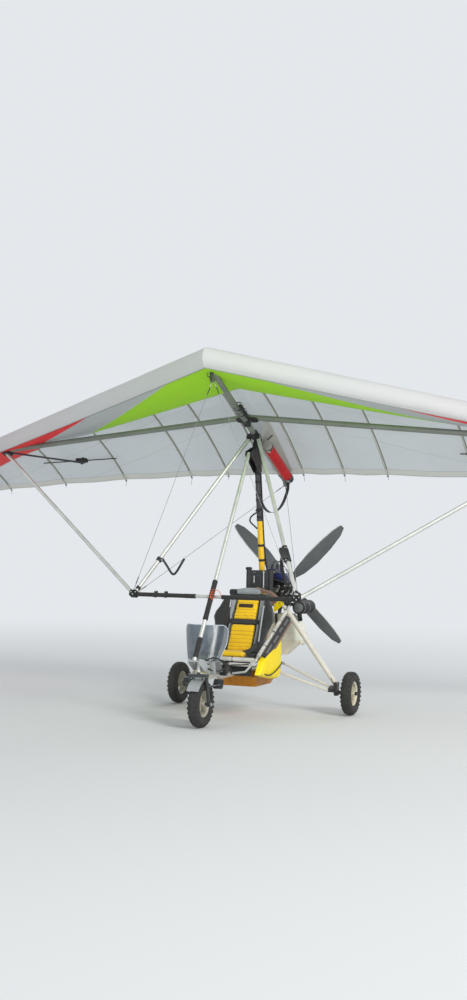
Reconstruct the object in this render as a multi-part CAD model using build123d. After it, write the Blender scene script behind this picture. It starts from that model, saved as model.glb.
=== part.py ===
from build123d import *

import math
import os

# Single-seat microlight trike with a strut-braced flexible wing, parked on its three wheels
# with the control bar pushed forward against the front strut.
# Millimetres, +Z up, nose towards -Y, +X to the right when the trike is seen from the front.
# The origin is on the ground, below the middle of the whole machine.
os.makedirs("parts", exist_ok=True)

# Driving dimensions. Y is measured here from the foot of the hang point, and shifted once at the end.
GAP = 0.3                    # clearance where a piece seats on another
RUNNING = 0.05               # radial clearance of a shaft in its bore
TYRE_R = 200
TYRE_W = 95
RIM_R = 112
HUB_R = 30
HUB_W = 84
AXLE_R = 10
SPOKES = 3
TRACK_HALF = 880
REAR_AXLE_Y = 440
FRONT_AXLE_Y = -990

KEEL_R = 25                  # lower frame tube of the trike
KEEL_Z = 400
KEEL_BEND_Y = -560
KEEL_TAIL_Y = 680
HEAD_Y = -1040               # a point on the steering axis, at HEAD_Z
HEAD_Z = 515
HEAD_TILT = 10               # degrees that the steering axis leans back
HEAD_R = 22
HEAD_LEN = 90
STEM_R = 14
CHEEK_X = 52                 # half spacing of the nose bracket's plates
CHEEK_T = 6

MAST_R = 28
MAST_FOOT = (0, 524, 426)
MAST_LEAN = 9.4              # degrees that the mast leans forward
MAST_SPLIT_Z = 1790
MAST_TOP_Z = 2360
STRUT_R = 17.5
STRUT_FOOT = (0, -1140, 573)
STRUT_TOP = (0, -8, 2413)
HANG = (0, 138, 2456)        # centre of the hang bolt
HANG_BOLT_R = 8
HEAD_PLATE_X = 24            # half spacing of the mast head's plates, to their inner faces
HEAD_PLATE_T = 6

UPPER_CROSS = (478, 1000)    # y, z of the cross tube behind the mast
UPPER_CROSS_R = 20
UPPER_CROSS_HALF = 262
LOWER_CROSS_HALF = 185
LOWER_CROSS_R = 16
LEG_R = 25
LEG_TOP = (178, 480, 1004)
LEG_FOOT = (735, 441, 275)
DRAG_R = 12.5
KNUCKLE_X = 742
KNUCKLE_T = 30

SEAT_HALF = 222              # half width of the seat shell at the hips
SEAT_TOP_HALF = 152
PAD_HALF = 128               # half width of the quilted centre
SEAT_BASE_Z = 548
SEAT_FRONT_Y = -372
SEAT_BEND_Y = -168
SEAT_TOP = (98, 1098)        # y, z of the front of the backrest at its top
SHELL_T = 26
BOLSTER_W = 58
PAD_T = 42
RAIL_X = 256
RAIL_R = 12.5
POD_W = 58
POD_DROP = 76                # from the side rail's centre down to the pod's upper edge
FLAP_T = 20
POD_WALL = 5
TUB_WALL = 6
TUB_HALF = 205
TUB_DEEP = 124               # from the lower frame tube's centre to the tub's floor
TUB_Y = (-262, 330)          # front and rear of its rim

TANK_TOP_Z = 905
ENGINE_RAIL_X = 85
ENGINE_RAIL_R = 16
CRANK_Z = 1094
PROP_HUB = (0, 1070, 1192)
PROP_R = 815
BLADES = 4
BLADE_ROOT = 96              # radius at which the blades leave the hub's sockets
SHAFT_R = 16

WING_NOSE = (0, -920, 3076)  # front end of the wing keel's axis
WING_TILT = 24.6             # degrees that the wing keel points up at the nose
WING_KEEL_R = 25
WING_KEEL_LEN = 2150
FRONT_TANG = (96, -66)       # station and height where the front wires meet the wing keel's plate
REAR_TANG = (WING_KEEL_LEN - 58, -44)
APEX_S = 1142                # stations along the wing keel, from its nose
HANG_S = 1221
BAR_S = 958
BAR_N = -1734                # below the wing keel, square to it
BAR_HALF = 775
BAR_R = 14
GRIP_R = 19
UPRIGHT_R = 18
UPRIGHT_TOP_X = 50
JUNCTION = (2866, 1372, -6)  # x, station, height: where cross tube, strut and leading edge meet
CROSS_S = 930
CROSS_N = 60
CROSS_R = 26
CROSS_GAP = 10
LIFT_R = 18
WIRE_R = 2
SAIL_T = 6                   # thickness given to the cloth
LE_N = 34                    # height of the leading edge's centre over the wing keel
CREST_N = 68                 # added height of the upper surface's crest
LE_FRONT_S = -200
LE_SLOPE = 0.49
BATTEN_R = 6


def tube(a, b, r, bore=0):
    """Straight tube or bar from a to b."""
    a, b = Vector(*a), Vector(*b)
    plane = Plane(origin=a, z_dir=(b - a).normalized())
    profile = Circle(r) - Circle(bore) if bore else Circle(r)
    return extrude(plane * profile, (b - a).length)


def block(x, y, z, sx, sy, sz, r=0, axis=None):
    """Box centred at x, y, z, with the edges along an axis rounded."""
    body = Pos(x, y, z) * Box(sx, sy, sz)
    if r:
        edges = body.edges().filter_by(axis) if axis else body.edges()
        body = fillet(edges, r)
    return body


def plate(outline, x, thickness):
    """Plate square to X, from a list of y, z points, starting at x."""
    face = Plane.YZ.offset(x) * make_face(Polyline(*outline, close=True))
    return extrude(face, thickness)


def along_x(half, y, z, r):
    return tube((-half, y, z), (half, y, z), r)


def mirrored(part):
    return mirror(part, about=Plane.YZ)


def pair(part):
    """The piece and its mirror image on the other side."""
    return Compound(children=[part, mirrored(part)])


def main_piece(part):
    """The largest solid of a piece that a cut has left with offcuts."""
    return part.solids().sort_by(SortBy.VOLUME)[-1]


def mast_y(z):
    return MAST_FOOT[1] - math.tan(math.radians(MAST_LEAN)) * (z - MAST_FOOT[2])


def mast_at(z):
    return (0, mast_y(z), z)


# Wheels: a tyre revolved from its section, and a cast rim with broad spokes.

def tyre(x, y):
    half = TYRE_W / 2
    section = make_face(
        Line((-half + 14, RIM_R + GAP), (half - 14, RIM_R + GAP))
        + ThreePointArc((half - 14, RIM_R + GAP), (half, RIM_R + 38), (half - 12, TYRE_R - 16))
        + ThreePointArc((half - 12, TYRE_R - 16), (0, TYRE_R), (-half + 12, TYRE_R - 16))
        + ThreePointArc((-half + 12, TYRE_R - 16), (-half, RIM_R + 38), (-half + 14, RIM_R + GAP))
    )
    return Pos(x, y, TYRE_R) * revolve(section, Axis.X)


def rim(x, y):
    half = TYRE_W / 2 - 16
    lip = 7
    barrel = make_face(Polyline(
        (-half, RIM_R), (half, RIM_R), (half, RIM_R - lip), (half - 10, RIM_R - 16),
        (-half + 10, RIM_R - 16), (-half, RIM_R - lip), close=True))
    body = revolve(barrel, Axis.X) + Rot(0, 90, 0) * Cylinder(HUB_R, HUB_W)
    spoke = Plane.YZ * make_face(Polyline(
        (-17, HUB_R - 4), (17, HUB_R - 4), (27, RIM_R - 14), (-27, RIM_R - 14), close=True))
    spoke = extrude(spoke, 13, both=True)
    slot = extrude(Plane.YZ * (Pos(0, 64) * SlotOverall(44, 14, rotation=90)), 20, both=True)
    for i in range(SPOKES):
        body += Rot(i * 360 / SPOKES, 0, 0) * (spoke - slot)
    body -= Rot(0, 90, 0) * Cylinder(AXLE_R + RUNNING, HUB_W + 2)
    return Pos(x, y, TYRE_R) * body


# Lower frame: bent keel tube, two cross tubes for the drag struts, and the steering head.

def steering_axis(z_up):
    """Point on the steering axis, z_up along it from the head's centre."""
    t = math.radians(HEAD_TILT)
    return (0, HEAD_Y + z_up * math.sin(t), HEAD_Z + z_up * math.cos(t))


def base_frame():
    front_end = (0, HEAD_Y + HEAD_R, HEAD_Z - 6)
    body = tube((0, KEEL_BEND_Y, KEEL_Z), (0, KEEL_TAIL_Y, KEEL_Z), KEEL_R)
    body += tube((0, KEEL_BEND_Y, KEEL_Z), front_end, KEEL_R)
    body += Pos(0, KEEL_BEND_Y, KEEL_Z) * Sphere(KEEL_R)
    body += tube(steering_axis(-HEAD_LEN / 2), steering_axis(HEAD_LEN / 2), HEAD_R)
    body += along_x(LOWER_CROSS_HALF, *DRAG_FRONT[1:], LOWER_CROSS_R)
    body += along_x(LOWER_CROSS_HALF, *DRAG_REAR[1:], LOWER_CROSS_R)
    body -= tube(steering_axis(-HEAD_LEN), steering_axis(HEAD_LEN), STEM_R + RUNNING)
    tow_hole = Pos(0, KEEL_TAIL_Y - TOW_HOLE_IN, KEEL_Z) * Cylinder(TOW_HOLE_R, 3 * KEEL_R)
    body -= tow_hole
    return body


TOW_HOLE_R = 6
TOW_HOLE_IN = 32
# name: x, y, z of the drag strut's inner end
DRAG_FRONT = (LOWER_CROSS_HALF - 4, 325, KEEL_Z - 22)
DRAG_REAR = (LOWER_CROSS_HALF - 4, 520, KEEL_Z + 36)


def nose_bracket():
    """Two cast cheeks that carry the front strut's foot and clamp the steering head."""
    outline = [(HEAD_Y - 128, HEAD_Z + 44), (HEAD_Y - 96, HEAD_Z + 78), (HEAD_Y - 4, HEAD_Z + 62),
               (HEAD_Y + 92, HEAD_Z - 2), (HEAD_Y + 76, HEAD_Z - 40), (HEAD_Y - 6, HEAD_Z - 26)]
    cheek = plate(outline, CHEEK_X - CHEEK_T, CHEEK_T)
    body = cheek + mirrored(cheek)
    for y, z in ((HEAD_Y + 62, HEAD_Z - 16), (STRUT_FOOT[1], STRUT_FOOT[2])):
        body += along_x(CHEEK_X, y, z, 9)
    body += block(0, HEAD_Y - 46, HEAD_Z + 52, 2 * CHEEK_X - CHEEK_T, 34, 12)
    return body


def strut_foot_part():
    return tube(STRUT_FOOT, STRUT_TOP, STRUT_R)


def mast_part(z0, z1):
    return tube(mast_at(z0), mast_at(z1), MAST_R)


def mast_head():
    """Paired plates from the mast top to the front strut and up to the hang bolt."""
    y_mast, y_strut = mast_y(MAST_TOP_Z - 90), STRUT_TOP[1]
    outline = [(y_mast + 34, MAST_TOP_Z - 110), (y_mast + 22, MAST_TOP_Z - 6), (HANG[1] + 24, HANG[2] + 20),
               (HANG[1] - 24, HANG[2] + 20), (y_strut - 14, STRUT_TOP[2] + 16), (y_strut - 26, STRUT_TOP[2] - 24),
               (y_strut + 34, STRUT_TOP[2] - 56), (y_mast - 38, MAST_TOP_Z - 118)]
    cheek = plate(outline, HEAD_PLATE_X, HEAD_PLATE_T)
    body = cheek + mirrored(cheek)
    neck = mast_part(MAST_TOP_Z - 108, MAST_TOP_Z)
    body += neck + along_x(HEAD_PLATE_X + 2, STRUT_TOP[1] + 6, STRUT_TOP[2] - 14, 11)
    reach = HEAD_PLATE_X + HEAD_PLATE_T + 9
    body += along_x(reach, HANG[1], HANG[2], HANG_BOLT_R)
    return body


# Undercarriage.

def gear_legs():
    leg = tube(LEG_TOP, LEG_FOOT, LEG_R)
    leg -= tube((-400, UPPER_CROSS[0], UPPER_CROSS[1]), (400, UPPER_CROSS[0], UPPER_CROSS[1]), UPPER_CROSS_R)
    return leg


def knuckle():
    """Forged plate at the leg's foot, with the stub axle that carries the wheel."""
    y, z = REAR_AXLE_Y, TYRE_R
    outline = [(y - 44, z - 6), (y - 30, z + 96), (y + 34, z + 96), (y + 44, z - 6), (y + 22, z - 30), (y - 22, z - 30)]
    body = plate(outline, KNUCKLE_X - KNUCKLE_T / 2, KNUCKLE_T)
    body += plate([(y - 52, z + 4), (y - 52, z + 34), (y + 30, z + 60), (y + 30, z + 30)], KNUCKLE_X - 70, 62)
    body += tube((KNUCKLE_X, y, z), (TRACK_HALF + HUB_W / 2 + 22, y, z), AXLE_R)
    body += tube((KNUCKLE_X, y, z), (TRACK_HALF - HUB_W / 2 - 5, y, z), 19)
    body += tube((TRACK_HALF + HUB_W / 2 + 5, y, z), (TRACK_HALF + HUB_W / 2 + 20, y, z), 17)
    return body - tube(LEG_TOP, LEG_FOOT, LEG_R)


def drag_struts():
    """Two thin struts a side, from the lower frame's cross tubes out to the knuckle."""
    ends = [(DRAG_FRONT, (KNUCKLE_X - 66, REAR_AXLE_Y - 42, TYRE_R + 18)),
            (DRAG_REAR, (KNUCKLE_X - 66, REAR_AXLE_Y + 18, TYRE_R + 44))]
    struts = []
    for inner, outer in ends:
        strut = tube(inner, outer, DRAG_R)
        strut -= along_x(LOWER_CROSS_HALF, inner[1], inner[2], LOWER_CROSS_R)
        struts.append(strut - knuckle())
    return Compound(children=struts + [mirrored(s) for s in struts])


# Seat, rails and fairing.

def seat_normal():
    """Unit vector that points forward out of the backrest."""
    dy, dz = SEAT_TOP[0] - SEAT_BEND_Y, SEAT_TOP[1] - SEAT_BASE_Z
    n = math.hypot(dy, dz)
    return (-dz / n, dy / n)


def offset_profile(t0, t1, y_front, top_in):
    """Side outline of a layer on the seat, between two depths in front of the shell's face."""
    ny, nz = seat_normal()
    dy, dz = SEAT_TOP[0] - SEAT_BEND_Y, SEAT_TOP[1] - SEAT_BASE_Z
    n = math.hypot(dy, dz)
    ty, tz = SEAT_TOP[0] - dy / n * top_in, SEAT_TOP[1] - dz / n * top_in

    def bend(t):
        k = (1 - nz) / ny
        return (SEAT_BEND_Y + t * k, SEAT_BASE_Z + t)
    return [(y_front, SEAT_BASE_Z + t0), bend(t0), (ty + ny * t0, tz + nz * t0),
            (ty + ny * t1, tz + nz * t1), bend(t1), (y_front, SEAT_BASE_Z + t1)]


def backrest_plane(depth=0):
    """Plane on the backrest, x across and y up it, with its origin at the bend."""
    ny, nz = seat_normal()
    return Plane(origin=(0, SEAT_BEND_Y + ny * depth, SEAT_BASE_Z + nz * depth), x_dir=(1, 0, 0), z_dir=(0, ny, nz))


def backrest_length():
    return math.hypot(SEAT_TOP[0] - SEAT_BEND_Y, SEAT_TOP[1] - SEAT_BASE_Z)


def backrest_slab(outline, depth, thickness):
    """Slab square to the backrest, from the right-hand half of its outline."""
    points = outline + [(-x, y) for x, y in reversed(outline)]
    return extrude(backrest_plane(depth) * make_face(Polyline(*points, close=True)), thickness)


def seat_shell():
    """Black bucket, narrow at the top, with raised side bolsters."""
    top = backrest_length()
    shell = plate(offset_profile(-SHELL_T, 0, SEAT_FRONT_Y, 0), -SEAT_HALF, 2 * SEAT_HALF)
    shell &= backrest_slab([(SEAT_HALF, -400), (SEAT_HALF, 0.58 * top), (SEAT_TOP_HALF, 0.86 * top),
                            (SEAT_TOP_HALF - 16, top)], -600, 1200)
    # height up the backrest, inner x, outer x, depth
    rows = [(-4, SEAT_HALF - BOLSTER_W, SEAT_HALF, 66), (0.34 * top, SEAT_HALF - BOLSTER_W, SEAT_HALF + 14, 84),
            (0.58 * top, SEAT_HALF - BOLSTER_W, SEAT_HALF + 6, 74),
            (0.76 * top, SEAT_HALF - BOLSTER_W, SEAT_TOP_HALF + 26, 30)]
    layers = []
    for y, x0, x1, d in rows:
        c = (x1 - x0) / 4
        edge = Polyline((x0, -4), (x0, d - c), (x0 + c, d), (x1 - c, d), (x1, d - c), (x1, -4), close=True)
        layers.append(Plane.XZ.offset(-y) * make_face(edge))
    bolster = loft(layers, ruled=True)
    bolster = backrest_plane().location * bolster
    wing = block(SEAT_HALF - BOLSTER_W / 2, SEAT_FRONT_Y + 110, SEAT_BASE_Z + 18, BOLSTER_W, 200, 38, 12, Axis.Y)
    shell = shell + bolster + mirrored(bolster) + wing + mirrored(wing)
    return shell - tube(mast_at(400), mast_at(1400), MAST_R + GAP)


def backrest_pad():
    """Quilted centre of the backrest."""
    top = backrest_length() - 14
    slab = backrest_slab([(PAD_HALF, BASE_PAD_T + 18), (PAD_HALF, 0.62 * top), (PAD_HALF - 14, top)], GAP, PAD_T)
    return fillet(slab.edges(), 12)


def side_strips():
    """Pale strips between the quilted centre and the bolsters."""
    top = backrest_length() - 14
    inner, outer = PAD_HALF + 1, SEAT_HALF - BOLSTER_W - 8
    edge = [(inner, BASE_PAD_T + 18), (outer, BASE_PAD_T + 18), (outer, 0.7 * top), (SEAT_TOP_HALF - 6, 0.84 * top),
            (SEAT_TOP_HALF - 20, top), (inner - 13, top), (inner, 0.62 * top)]
    strip = extrude(backrest_plane(GAP) * make_face(Polyline(*edge, close=True)), PAD_T - 12)
    return strip


BASE_PAD_T = 52


def base_pad():
    depth = SEAT_BEND_Y - SEAT_FRONT_Y - 14
    pad = block(0, SEAT_FRONT_Y + 8 + depth / 2, SEAT_BASE_Z + GAP + BASE_PAD_T / 2,
                2 * (SEAT_HALF - BOLSTER_W - 8), depth, BASE_PAD_T)
    return fillet(pad.edges(), 14)


def head_roll():
    """Padded roll across the top of the seat."""
    y, z = SEAT_TOP[0] + 22, SEAT_TOP[1] + GAP + 26
    roll = Pos(0, y, z) * Box(2 * SEAT_TOP_HALF + 6, 112, 52)
    return fillet(roll.edges(), 22)


RAIL_FRONT = (SEAT_FRONT_Y - RAIL_R - GAP, SEAT_BASE_Z - SHELL_T / 2)
RAIL_REAR = (UPPER_CROSS[0] - 30, UPPER_CROSS[1] - 16)


def rail_z(y):
    """Height of the side rails at a place along the trike."""
    rise = (RAIL_REAR[1] - RAIL_FRONT[1]) / (RAIL_REAR[0] - RAIL_FRONT[0])
    return RAIL_FRONT[1] + rise * (y - RAIL_FRONT[0])


def seat_rails():
    """Tube frame round the seat: side rails, two front rails, and props down to the keel."""
    front, rear = RAIL_FRONT, RAIL_REAR
    side = tube((RAIL_X, *front), (RAIL_X, *rear), RAIL_R)
    prop = tube((RAIL_X, *front), (RAIL_X - 90, KEEL_BEND_Y + 150, KEEL_Z + 30), RAIL_R - 3)
    lower = (SEAT_FRONT_Y - RAIL_R - 6, SEAT_BASE_Z - 58)
    body = side + prop + Pos(RAIL_X, *front) * Sphere(RAIL_R)
    body += tube((RAIL_X - 90, KEEL_BEND_Y + 150, KEEL_Z + 30), (0, KEEL_BEND_Y + 150, KEEL_Z + 4), RAIL_R - 3)
    body = body + mirrored(body)
    body += along_x(RAIL_X, *front, RAIL_R) + along_x(RAIL_X - 42, *lower, RAIL_R - 2)
    for x in (-RAIL_X + 42, RAIL_X - 42):
        body += tube((x, *lower), (x, *front), RAIL_R - 3)
    body -= tube((0, KEEL_BEND_Y, KEEL_Z), (0, KEEL_TAIL_Y, KEEL_Z), KEEL_R)
    return body


def belly_tub():
    """Moulded tub under the seat, open at the top, with a sloping nose and tail."""
    def layer(inset, z, y0, y1):
        half = TUB_HALF - inset
        return Plane.XY.offset(z) * (Pos(0, (y0 + y1) / 2) * RectangleRounded(2 * half, y1 - y0, 34))

    top, floor = KEEL_Z - 24, KEEL_Z - TUB_DEEP
    y0, y1 = TUB_Y
    t = TUB_WALL
    outer = loft([layer(30, floor, y0 + 74, y1 - 96), layer(0, top, y0, y1)])
    inner = loft([layer(30 + t, floor + t, y0 + 74 + t, y1 - 96 - t), layer(t, top + 2, y0 + t, y1 - t)])
    lip = extrude(layer(-12, top - 5, y0 - 12, y1 + 12) - layer(t, top - 5, y0 + t, y1 - t), 5)
    body = outer - inner + lip
    body -= tube((0, -800, KEEL_Z), (0, 800, KEEL_Z), KEEL_R + GAP)
    return body - along_x(400, DRAG_FRONT[1], DRAG_FRONT[2], LOWER_CROSS_R + GAP)


def side_pods():
    """Bulged fairing panels beside the seat, hollow on the inside."""
    outline = [(-452, 402), (20, 338), (100, 372), (296, 660), (312, 730), (306, rail_z(306) - POD_DROP),
               (-360, rail_z(-360) - POD_DROP / 2)]
    inner_x = RAIL_X + RAIL_R + GAP

    def solid(inset, x0, depth, radius):
        edge = make_face(Polyline(*outline, close=True))
        if inset:
            edge = offset(edge, -inset)
        body = extrude(Plane.YZ.offset(x0) * edge, depth)
        return fillet(body.faces().sort_by(Axis.X)[-1].edges(), radius)

    pod = solid(0, inner_x, POD_W, 26) - solid(POD_WALL, inner_x - 1, POD_W - POD_WALL + 1, 22)
    return pair(pod)


def side_flap():
    """Padded flap laced along the side rail, behind the top of the pod."""
    slope = math.atan2(rail_z(100) - rail_z(0), 100)
    low, high = POD_DROP + 34, (RAIL_R + GAP) / math.cos(slope)
    outline = [(-330, rail_z(-330) - high), (330, rail_z(330) - high), (330, rail_z(330) - low),
               (-330, rail_z(-330) - POD_DROP)]
    return fillet(plate(outline, RAIL_X + RAIL_R - FLAP_T, FLAP_T).edges().filter_by(Axis.X), 8)


def fuel_tank():
    """Rotomoulded tank behind the mast, wide at the shoulders and narrow at the sump."""
    # height, half width, front y, rear y, corner radius
    rows = [(512, 190, 556, 676, 40), (650, 330, 556, 742, 60), (800, 330, 534, 760, 60),
            (TANK_TOP_Z, 240, 520, 700, 50)]
    layers = []
    for z, half, y0, y1, r in rows:
        layers.append(Plane.XY.offset(z) * (Pos(0, (y0 + y1) / 2) * RectangleRounded(2 * half, y1 - y0, r)))
    return loft(layers, ruled=True)


def windscreen():
    """Small curved fly-screen, wider at the top."""
    # height, half width, centre y, side y
    rows = [(556, 146, -912, -852), (700, 180, -896, -808), (862, 208, -882, -768)]
    thickness = 4
    layers = []
    for z, half, yc, ys in rows:
        outer = ThreePointArc((-half, ys), (0, yc), (half, ys))
        inner = ThreePointArc((half, ys + thickness), (0, yc + thickness), (-half, ys + thickness))
        edge = outer + inner + Line((half, ys), (half, ys + thickness)) + Line((-half, ys + thickness), (-half, ys))
        layers.append(Plane.XY.offset(z) * make_face(edge))
    return Pos(SCREEN_X, 0, 0) * loft(layers, ruled=True)


SCREEN_X = -46               # the screen stands a little to one side of the strut


def screen_bracket():
    """Cross strip under the screen, on two sloping plates that reach back to the frame."""
    body = block(SCREEN_X / 2, -888, 553, 250, 26, 6)
    slope = math.degrees(math.atan2(SCREEN_DROP, SCREEN_RUN))
    length = math.hypot(SCREEN_DROP, SCREEN_RUN)
    for side in (-1, 1):
        strip = Rot(-slope, 0, 0) * Box(54, length + 10, 6)
        middle = (side * 92, -888 + SCREEN_RUN / 2, 553 - SCREEN_DROP / 2)
        body += Pos(*middle) * Rot(0, 0, side * SCREEN_TOE) * strip
    body += along_x(104, -888 + SCREEN_RUN, 553 - SCREEN_DROP, 8)
    return body


SCREEN_RUN = 104             # how far the plates reach back
SCREEN_DROP = 88             # and down
SCREEN_TOE = 12


# Engine.

def engine_mount():
    y0, z0 = UPPER_CROSS
    body = along_x(UPPER_CROSS_HALF, y0, z0, UPPER_CROSS_R)
    for x in (-ENGINE_RAIL_X, ENGINE_RAIL_X):
        body += tube((x, y0, z0), (x, 930, z0), ENGINE_RAIL_R)
    body += along_x(ENGINE_RAIL_X, 920, z0, ENGINE_RAIL_R - 2)
    for x in (-ENGINE_RAIL_X, ENGINE_RAIL_X):
        body += tube((x, 620, z0), (x, 620, TANK_TOP_Z + GAP), 9)
    body += tube((0, 920, z0), (0, KEEL_TAIL_Y - 12, KEEL_Z + 12), ENGINE_RAIL_R - 1)
    body -= tube((0, KEEL_BEND_Y, KEEL_Z), (0, KEEL_TAIL_Y, KEEL_Z), KEEL_R)
    return body


def gusset():
    """Folded triangular plate on the front of a gear leg's top."""
    y, z = LEG_TOP[1] - LEG_R - GAP, LEG_TOP[2]
    face = make_face(Polyline((96, z - 74), (96, z + 66), (112, z + 70), (198, z + 8), (194, z - 8), (112, z - 80),
                              close=True))
    return extrude(Plane.XZ.offset(-y) * face, 5)


def crankcase():
    base = UPPER_CROSS[1] + ENGINE_RAIL_R
    body = block(0, 712, (base + CRANK_Z + 60) / 2, 216, 300, CRANK_Z + 60 - base, 22, Axis.Y)
    body += Pos(0, 712, CRANK_Z) * Rot(90, 0, 0) * Cylinder(60, 316)
    for x in (-ENGINE_RAIL_X, ENGINE_RAIL_X):
        body -= tube((x, 400, UPPER_CROSS[1]), (x, 1000, UPPER_CROSS[1]), ENGINE_RAIL_R)
    return body


CYLINDER_Y = (640, 778)
CYLINDER_TOP = 1338


def cylinders():
    """Two finned cylinders with domed heads and plug caps."""
    foot = CRANK_Z + 60
    body = None
    for y in CYLINDER_Y:
        one = Pos(0, y, (foot + CYLINDER_TOP - 40) / 2) * Cylinder(46, CYLINDER_TOP - 40 - foot)
        for i in range(9):
            one += block(0, y, foot + 20 + i * 14, 126, 124, 5, 20, Axis.Z)
        one += block(0, y, CYLINDER_TOP - 32, 120, 118, 26, 24, Axis.Z)
        one += Pos(0, y, CYLINDER_TOP - 10) * Cylinder(13, 34)
        body = one if body is None else body + one
    return body


def gearbox():
    """Reduction gearbox between the crankcase and the propeller."""
    y0, y1 = 870 + GAP, 978
    low, high = (0, CRANK_Z), (0, PROP_HUB[2])
    plane = Plane.XZ.offset(-y0)
    shape = Plane.XZ.offset(-y0) * make_hull((Pos(*low) * Circle(92)).edges() + (Pos(*high) * Circle(62)).edges())
    body = extrude(shape, -(y1 - y0))
    body = body + tube((0, y1, PROP_HUB[2]), (0, PROP_HUB[1] - 45, PROP_HUB[2]), 26)
    body -= tube((0, y0 + 30, PROP_HUB[2]), (0, PROP_HUB[1], PROP_HUB[2]), SHAFT_R + RUNNING)
    rails = along_x(400, 920, UPPER_CROSS[1], ENGINE_RAIL_R + 30)
    body -= rails
    return body


def intake():
    """Twin carburettors on the right of the cylinders, with an oval filter."""
    body = None
    for y in CYLINDER_Y:
        one = block(68 + GAP, y, 1216, 10, 52, 52) + tube((68, y, 1216), (118, y, 1222), 21)
        one += block(104, y, 1224, 42, 56, 76, 8, Axis.Z)
        one += Pos(104, y, 1276) * Cylinder(17, 30)
        body = one if body is None else body + one
    filter_body = Pos(152, 709, 1234) * Box(62, 250, 92)
    return body + fillet(filter_body.edges(), 24)


def exhaust():
    """Manifold on the left of the cylinders, folded under to a can on the right of the frame."""
    body = None
    for y in CYLINDER_Y:
        one = block(-68 - GAP, y, 1196, 10, 50, 50) + tube((-68, y, 1196), (-128, y, 1176), 20)
        body = one if body is None else body + one
    body += tube((-128, CYLINDER_Y[0] - 6, 1176), (-128, CYLINDER_Y[1] + 20, 1176), 25)
    body += Pos(-128, CYLINDER_Y[1] + 20, 1176) * Sphere(25)
    body += Pos(-128, CYLINDER_Y[0] - 6, 1176) * Sphere(25)
    return body


def muffler():
    """Expansion chamber and silencer can slung on the right of the engine."""
    x, z = 302, 968
    can = Pos(x, 742, z) * Rot(90, 0, 0) * Cylinder(64, 330)
    can = fillet(can.edges(), 18)
    tail = tube((x, 600, z - 40), (x + 28, 560, z - 118), 22, 18)
    straps = tube((ENGINE_RAIL_X + ENGINE_RAIL_R - 3, 690, UPPER_CROSS[1]), (x - 40, 690, z + 8), 9)
    straps += tube((ENGINE_RAIL_X + ENGINE_RAIL_R - 3, 830, UPPER_CROSS[1]), (x - 40, 830, z + 8), 9)
    body = can + tail + straps
    for x in (-ENGINE_RAIL_X, ENGINE_RAIL_X):
        body -= tube((x, 400, UPPER_CROSS[1]), (x, 1000, UPPER_CROSS[1]), ENGINE_RAIL_R)
    return body


def radiator():
    """Radiator carried in front of the mast, with round header tanks."""
    z0, z1 = 1136, 1322
    y = mast_y(1230) - MAST_R - 44
    body = block(0, y, (z0 + z1) / 2, 196, 34, z1 - z0)
    for x in (-112, 112):
        body += tube((x, y, z0 - 4), (x, y, z1 + 4), 24)
        body += tube((x, y, z1 - 26), (x, y + 96, z1 - 22), 15)
    body += block(0, y + 28, z1 - 50, 64, 40, 26)
    body += block(0, y + 28, z0 + 20, 64, 56, 26)
    return body - tube(mast_at(1000), mast_at(1500), MAST_R)


# Propeller.

def prop_hub():
    x, y, z = PROP_HUB
    body = Pos(x, y, z) * Rot(90, 0, 0) * Cylinder(62, 56)
    body += Pos(x, y - 33, z) * Rot(90, 0, 0) * Cylinder(44, 14)
    body = body + Pos(x, y + 36, z) * Rot(90, 0, 0) * Cylinder(30, 20)
    body += tube((x, y - 100, z), (x, y, z), SHAFT_R)
    for i in range(BLADES):
        socket = tube((0, 0, 46), (0, 0, BLADE_ROOT - GAP), 25)
        body += Pos(x, y, z) * Rot(0, 45 + i * 360 / BLADES, 0) * socket
    return body


def blade():
    """One blade along +Z: lens sections that narrow and untwist to a rounded tip."""
    # radius, chord, thickness, pitch in degrees
    rows = [(BLADE_ROOT, 62, 26, 44), (190, 112, 20, 34), (360, 138, 15, 24), (560, 128, 11, 17), (730, 92, 8, 13),
            (PROP_R - 6, 40, 5, 12)]
    layers = []
    for r, chord, thick, pitch in rows:
        edge = ThreePointArc((-chord * 0.4, 0), (0, thick / 2), (chord * 0.6, 0))
        edge += ThreePointArc((chord * 0.6, 0), (0, -thick / 2), (-chord * 0.4, 0))
        layers.append(Plane.XY.offset(r) * Rot(0, 0, pitch) * make_face(edge))
    return loft(layers, ruled=True)


def prop_blades():
    one = blade()
    place = Pos(*PROP_HUB)
    return Compound(children=[place * Rot(0, 45 + i * 360 / BLADES, 0) * one for i in range(BLADES)])


# Steered fork.

def fork():
    axle = (FRONT_AXLE_Y, TYRE_R)
    crown_y, crown_z = steering_axis(-HEAD_LEN / 2 - 22)[1:]
    body = tube(steering_axis(-HEAD_LEN / 2 - 22), steering_axis(HEAD_LEN / 2 + 14), STEM_R)
    body += tube(steering_axis(HEAD_LEN / 2 + 5), steering_axis(HEAD_LEN / 2 + 16), 20)
    body += block(0, crown_y, crown_z - 4, 176, 58, 24, 8, Axis.Z)
    for x in (-74, 74):
        body += tube((x, crown_y, crown_z - 4), (x, axle[0], axle[1]), 15)
        body += Pos(x, axle[0], axle[1]) * Rot(0, 90, 0) * Cylinder(22, 26)
    body += along_x(96, *axle, AXLE_R)
    for side in (-1, 1):
        rest = block(0, 0, 0, 92, 10, 84, 14, Axis.Y)
        body += Pos(side * 140, axle[0] + 44, 372) * Rot(-24, 0, 0) * rest
        body += tube((side * 74, axle[0] - 38, 352), (side * 160, axle[0] + 40, 366), 9)
    return body


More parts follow.
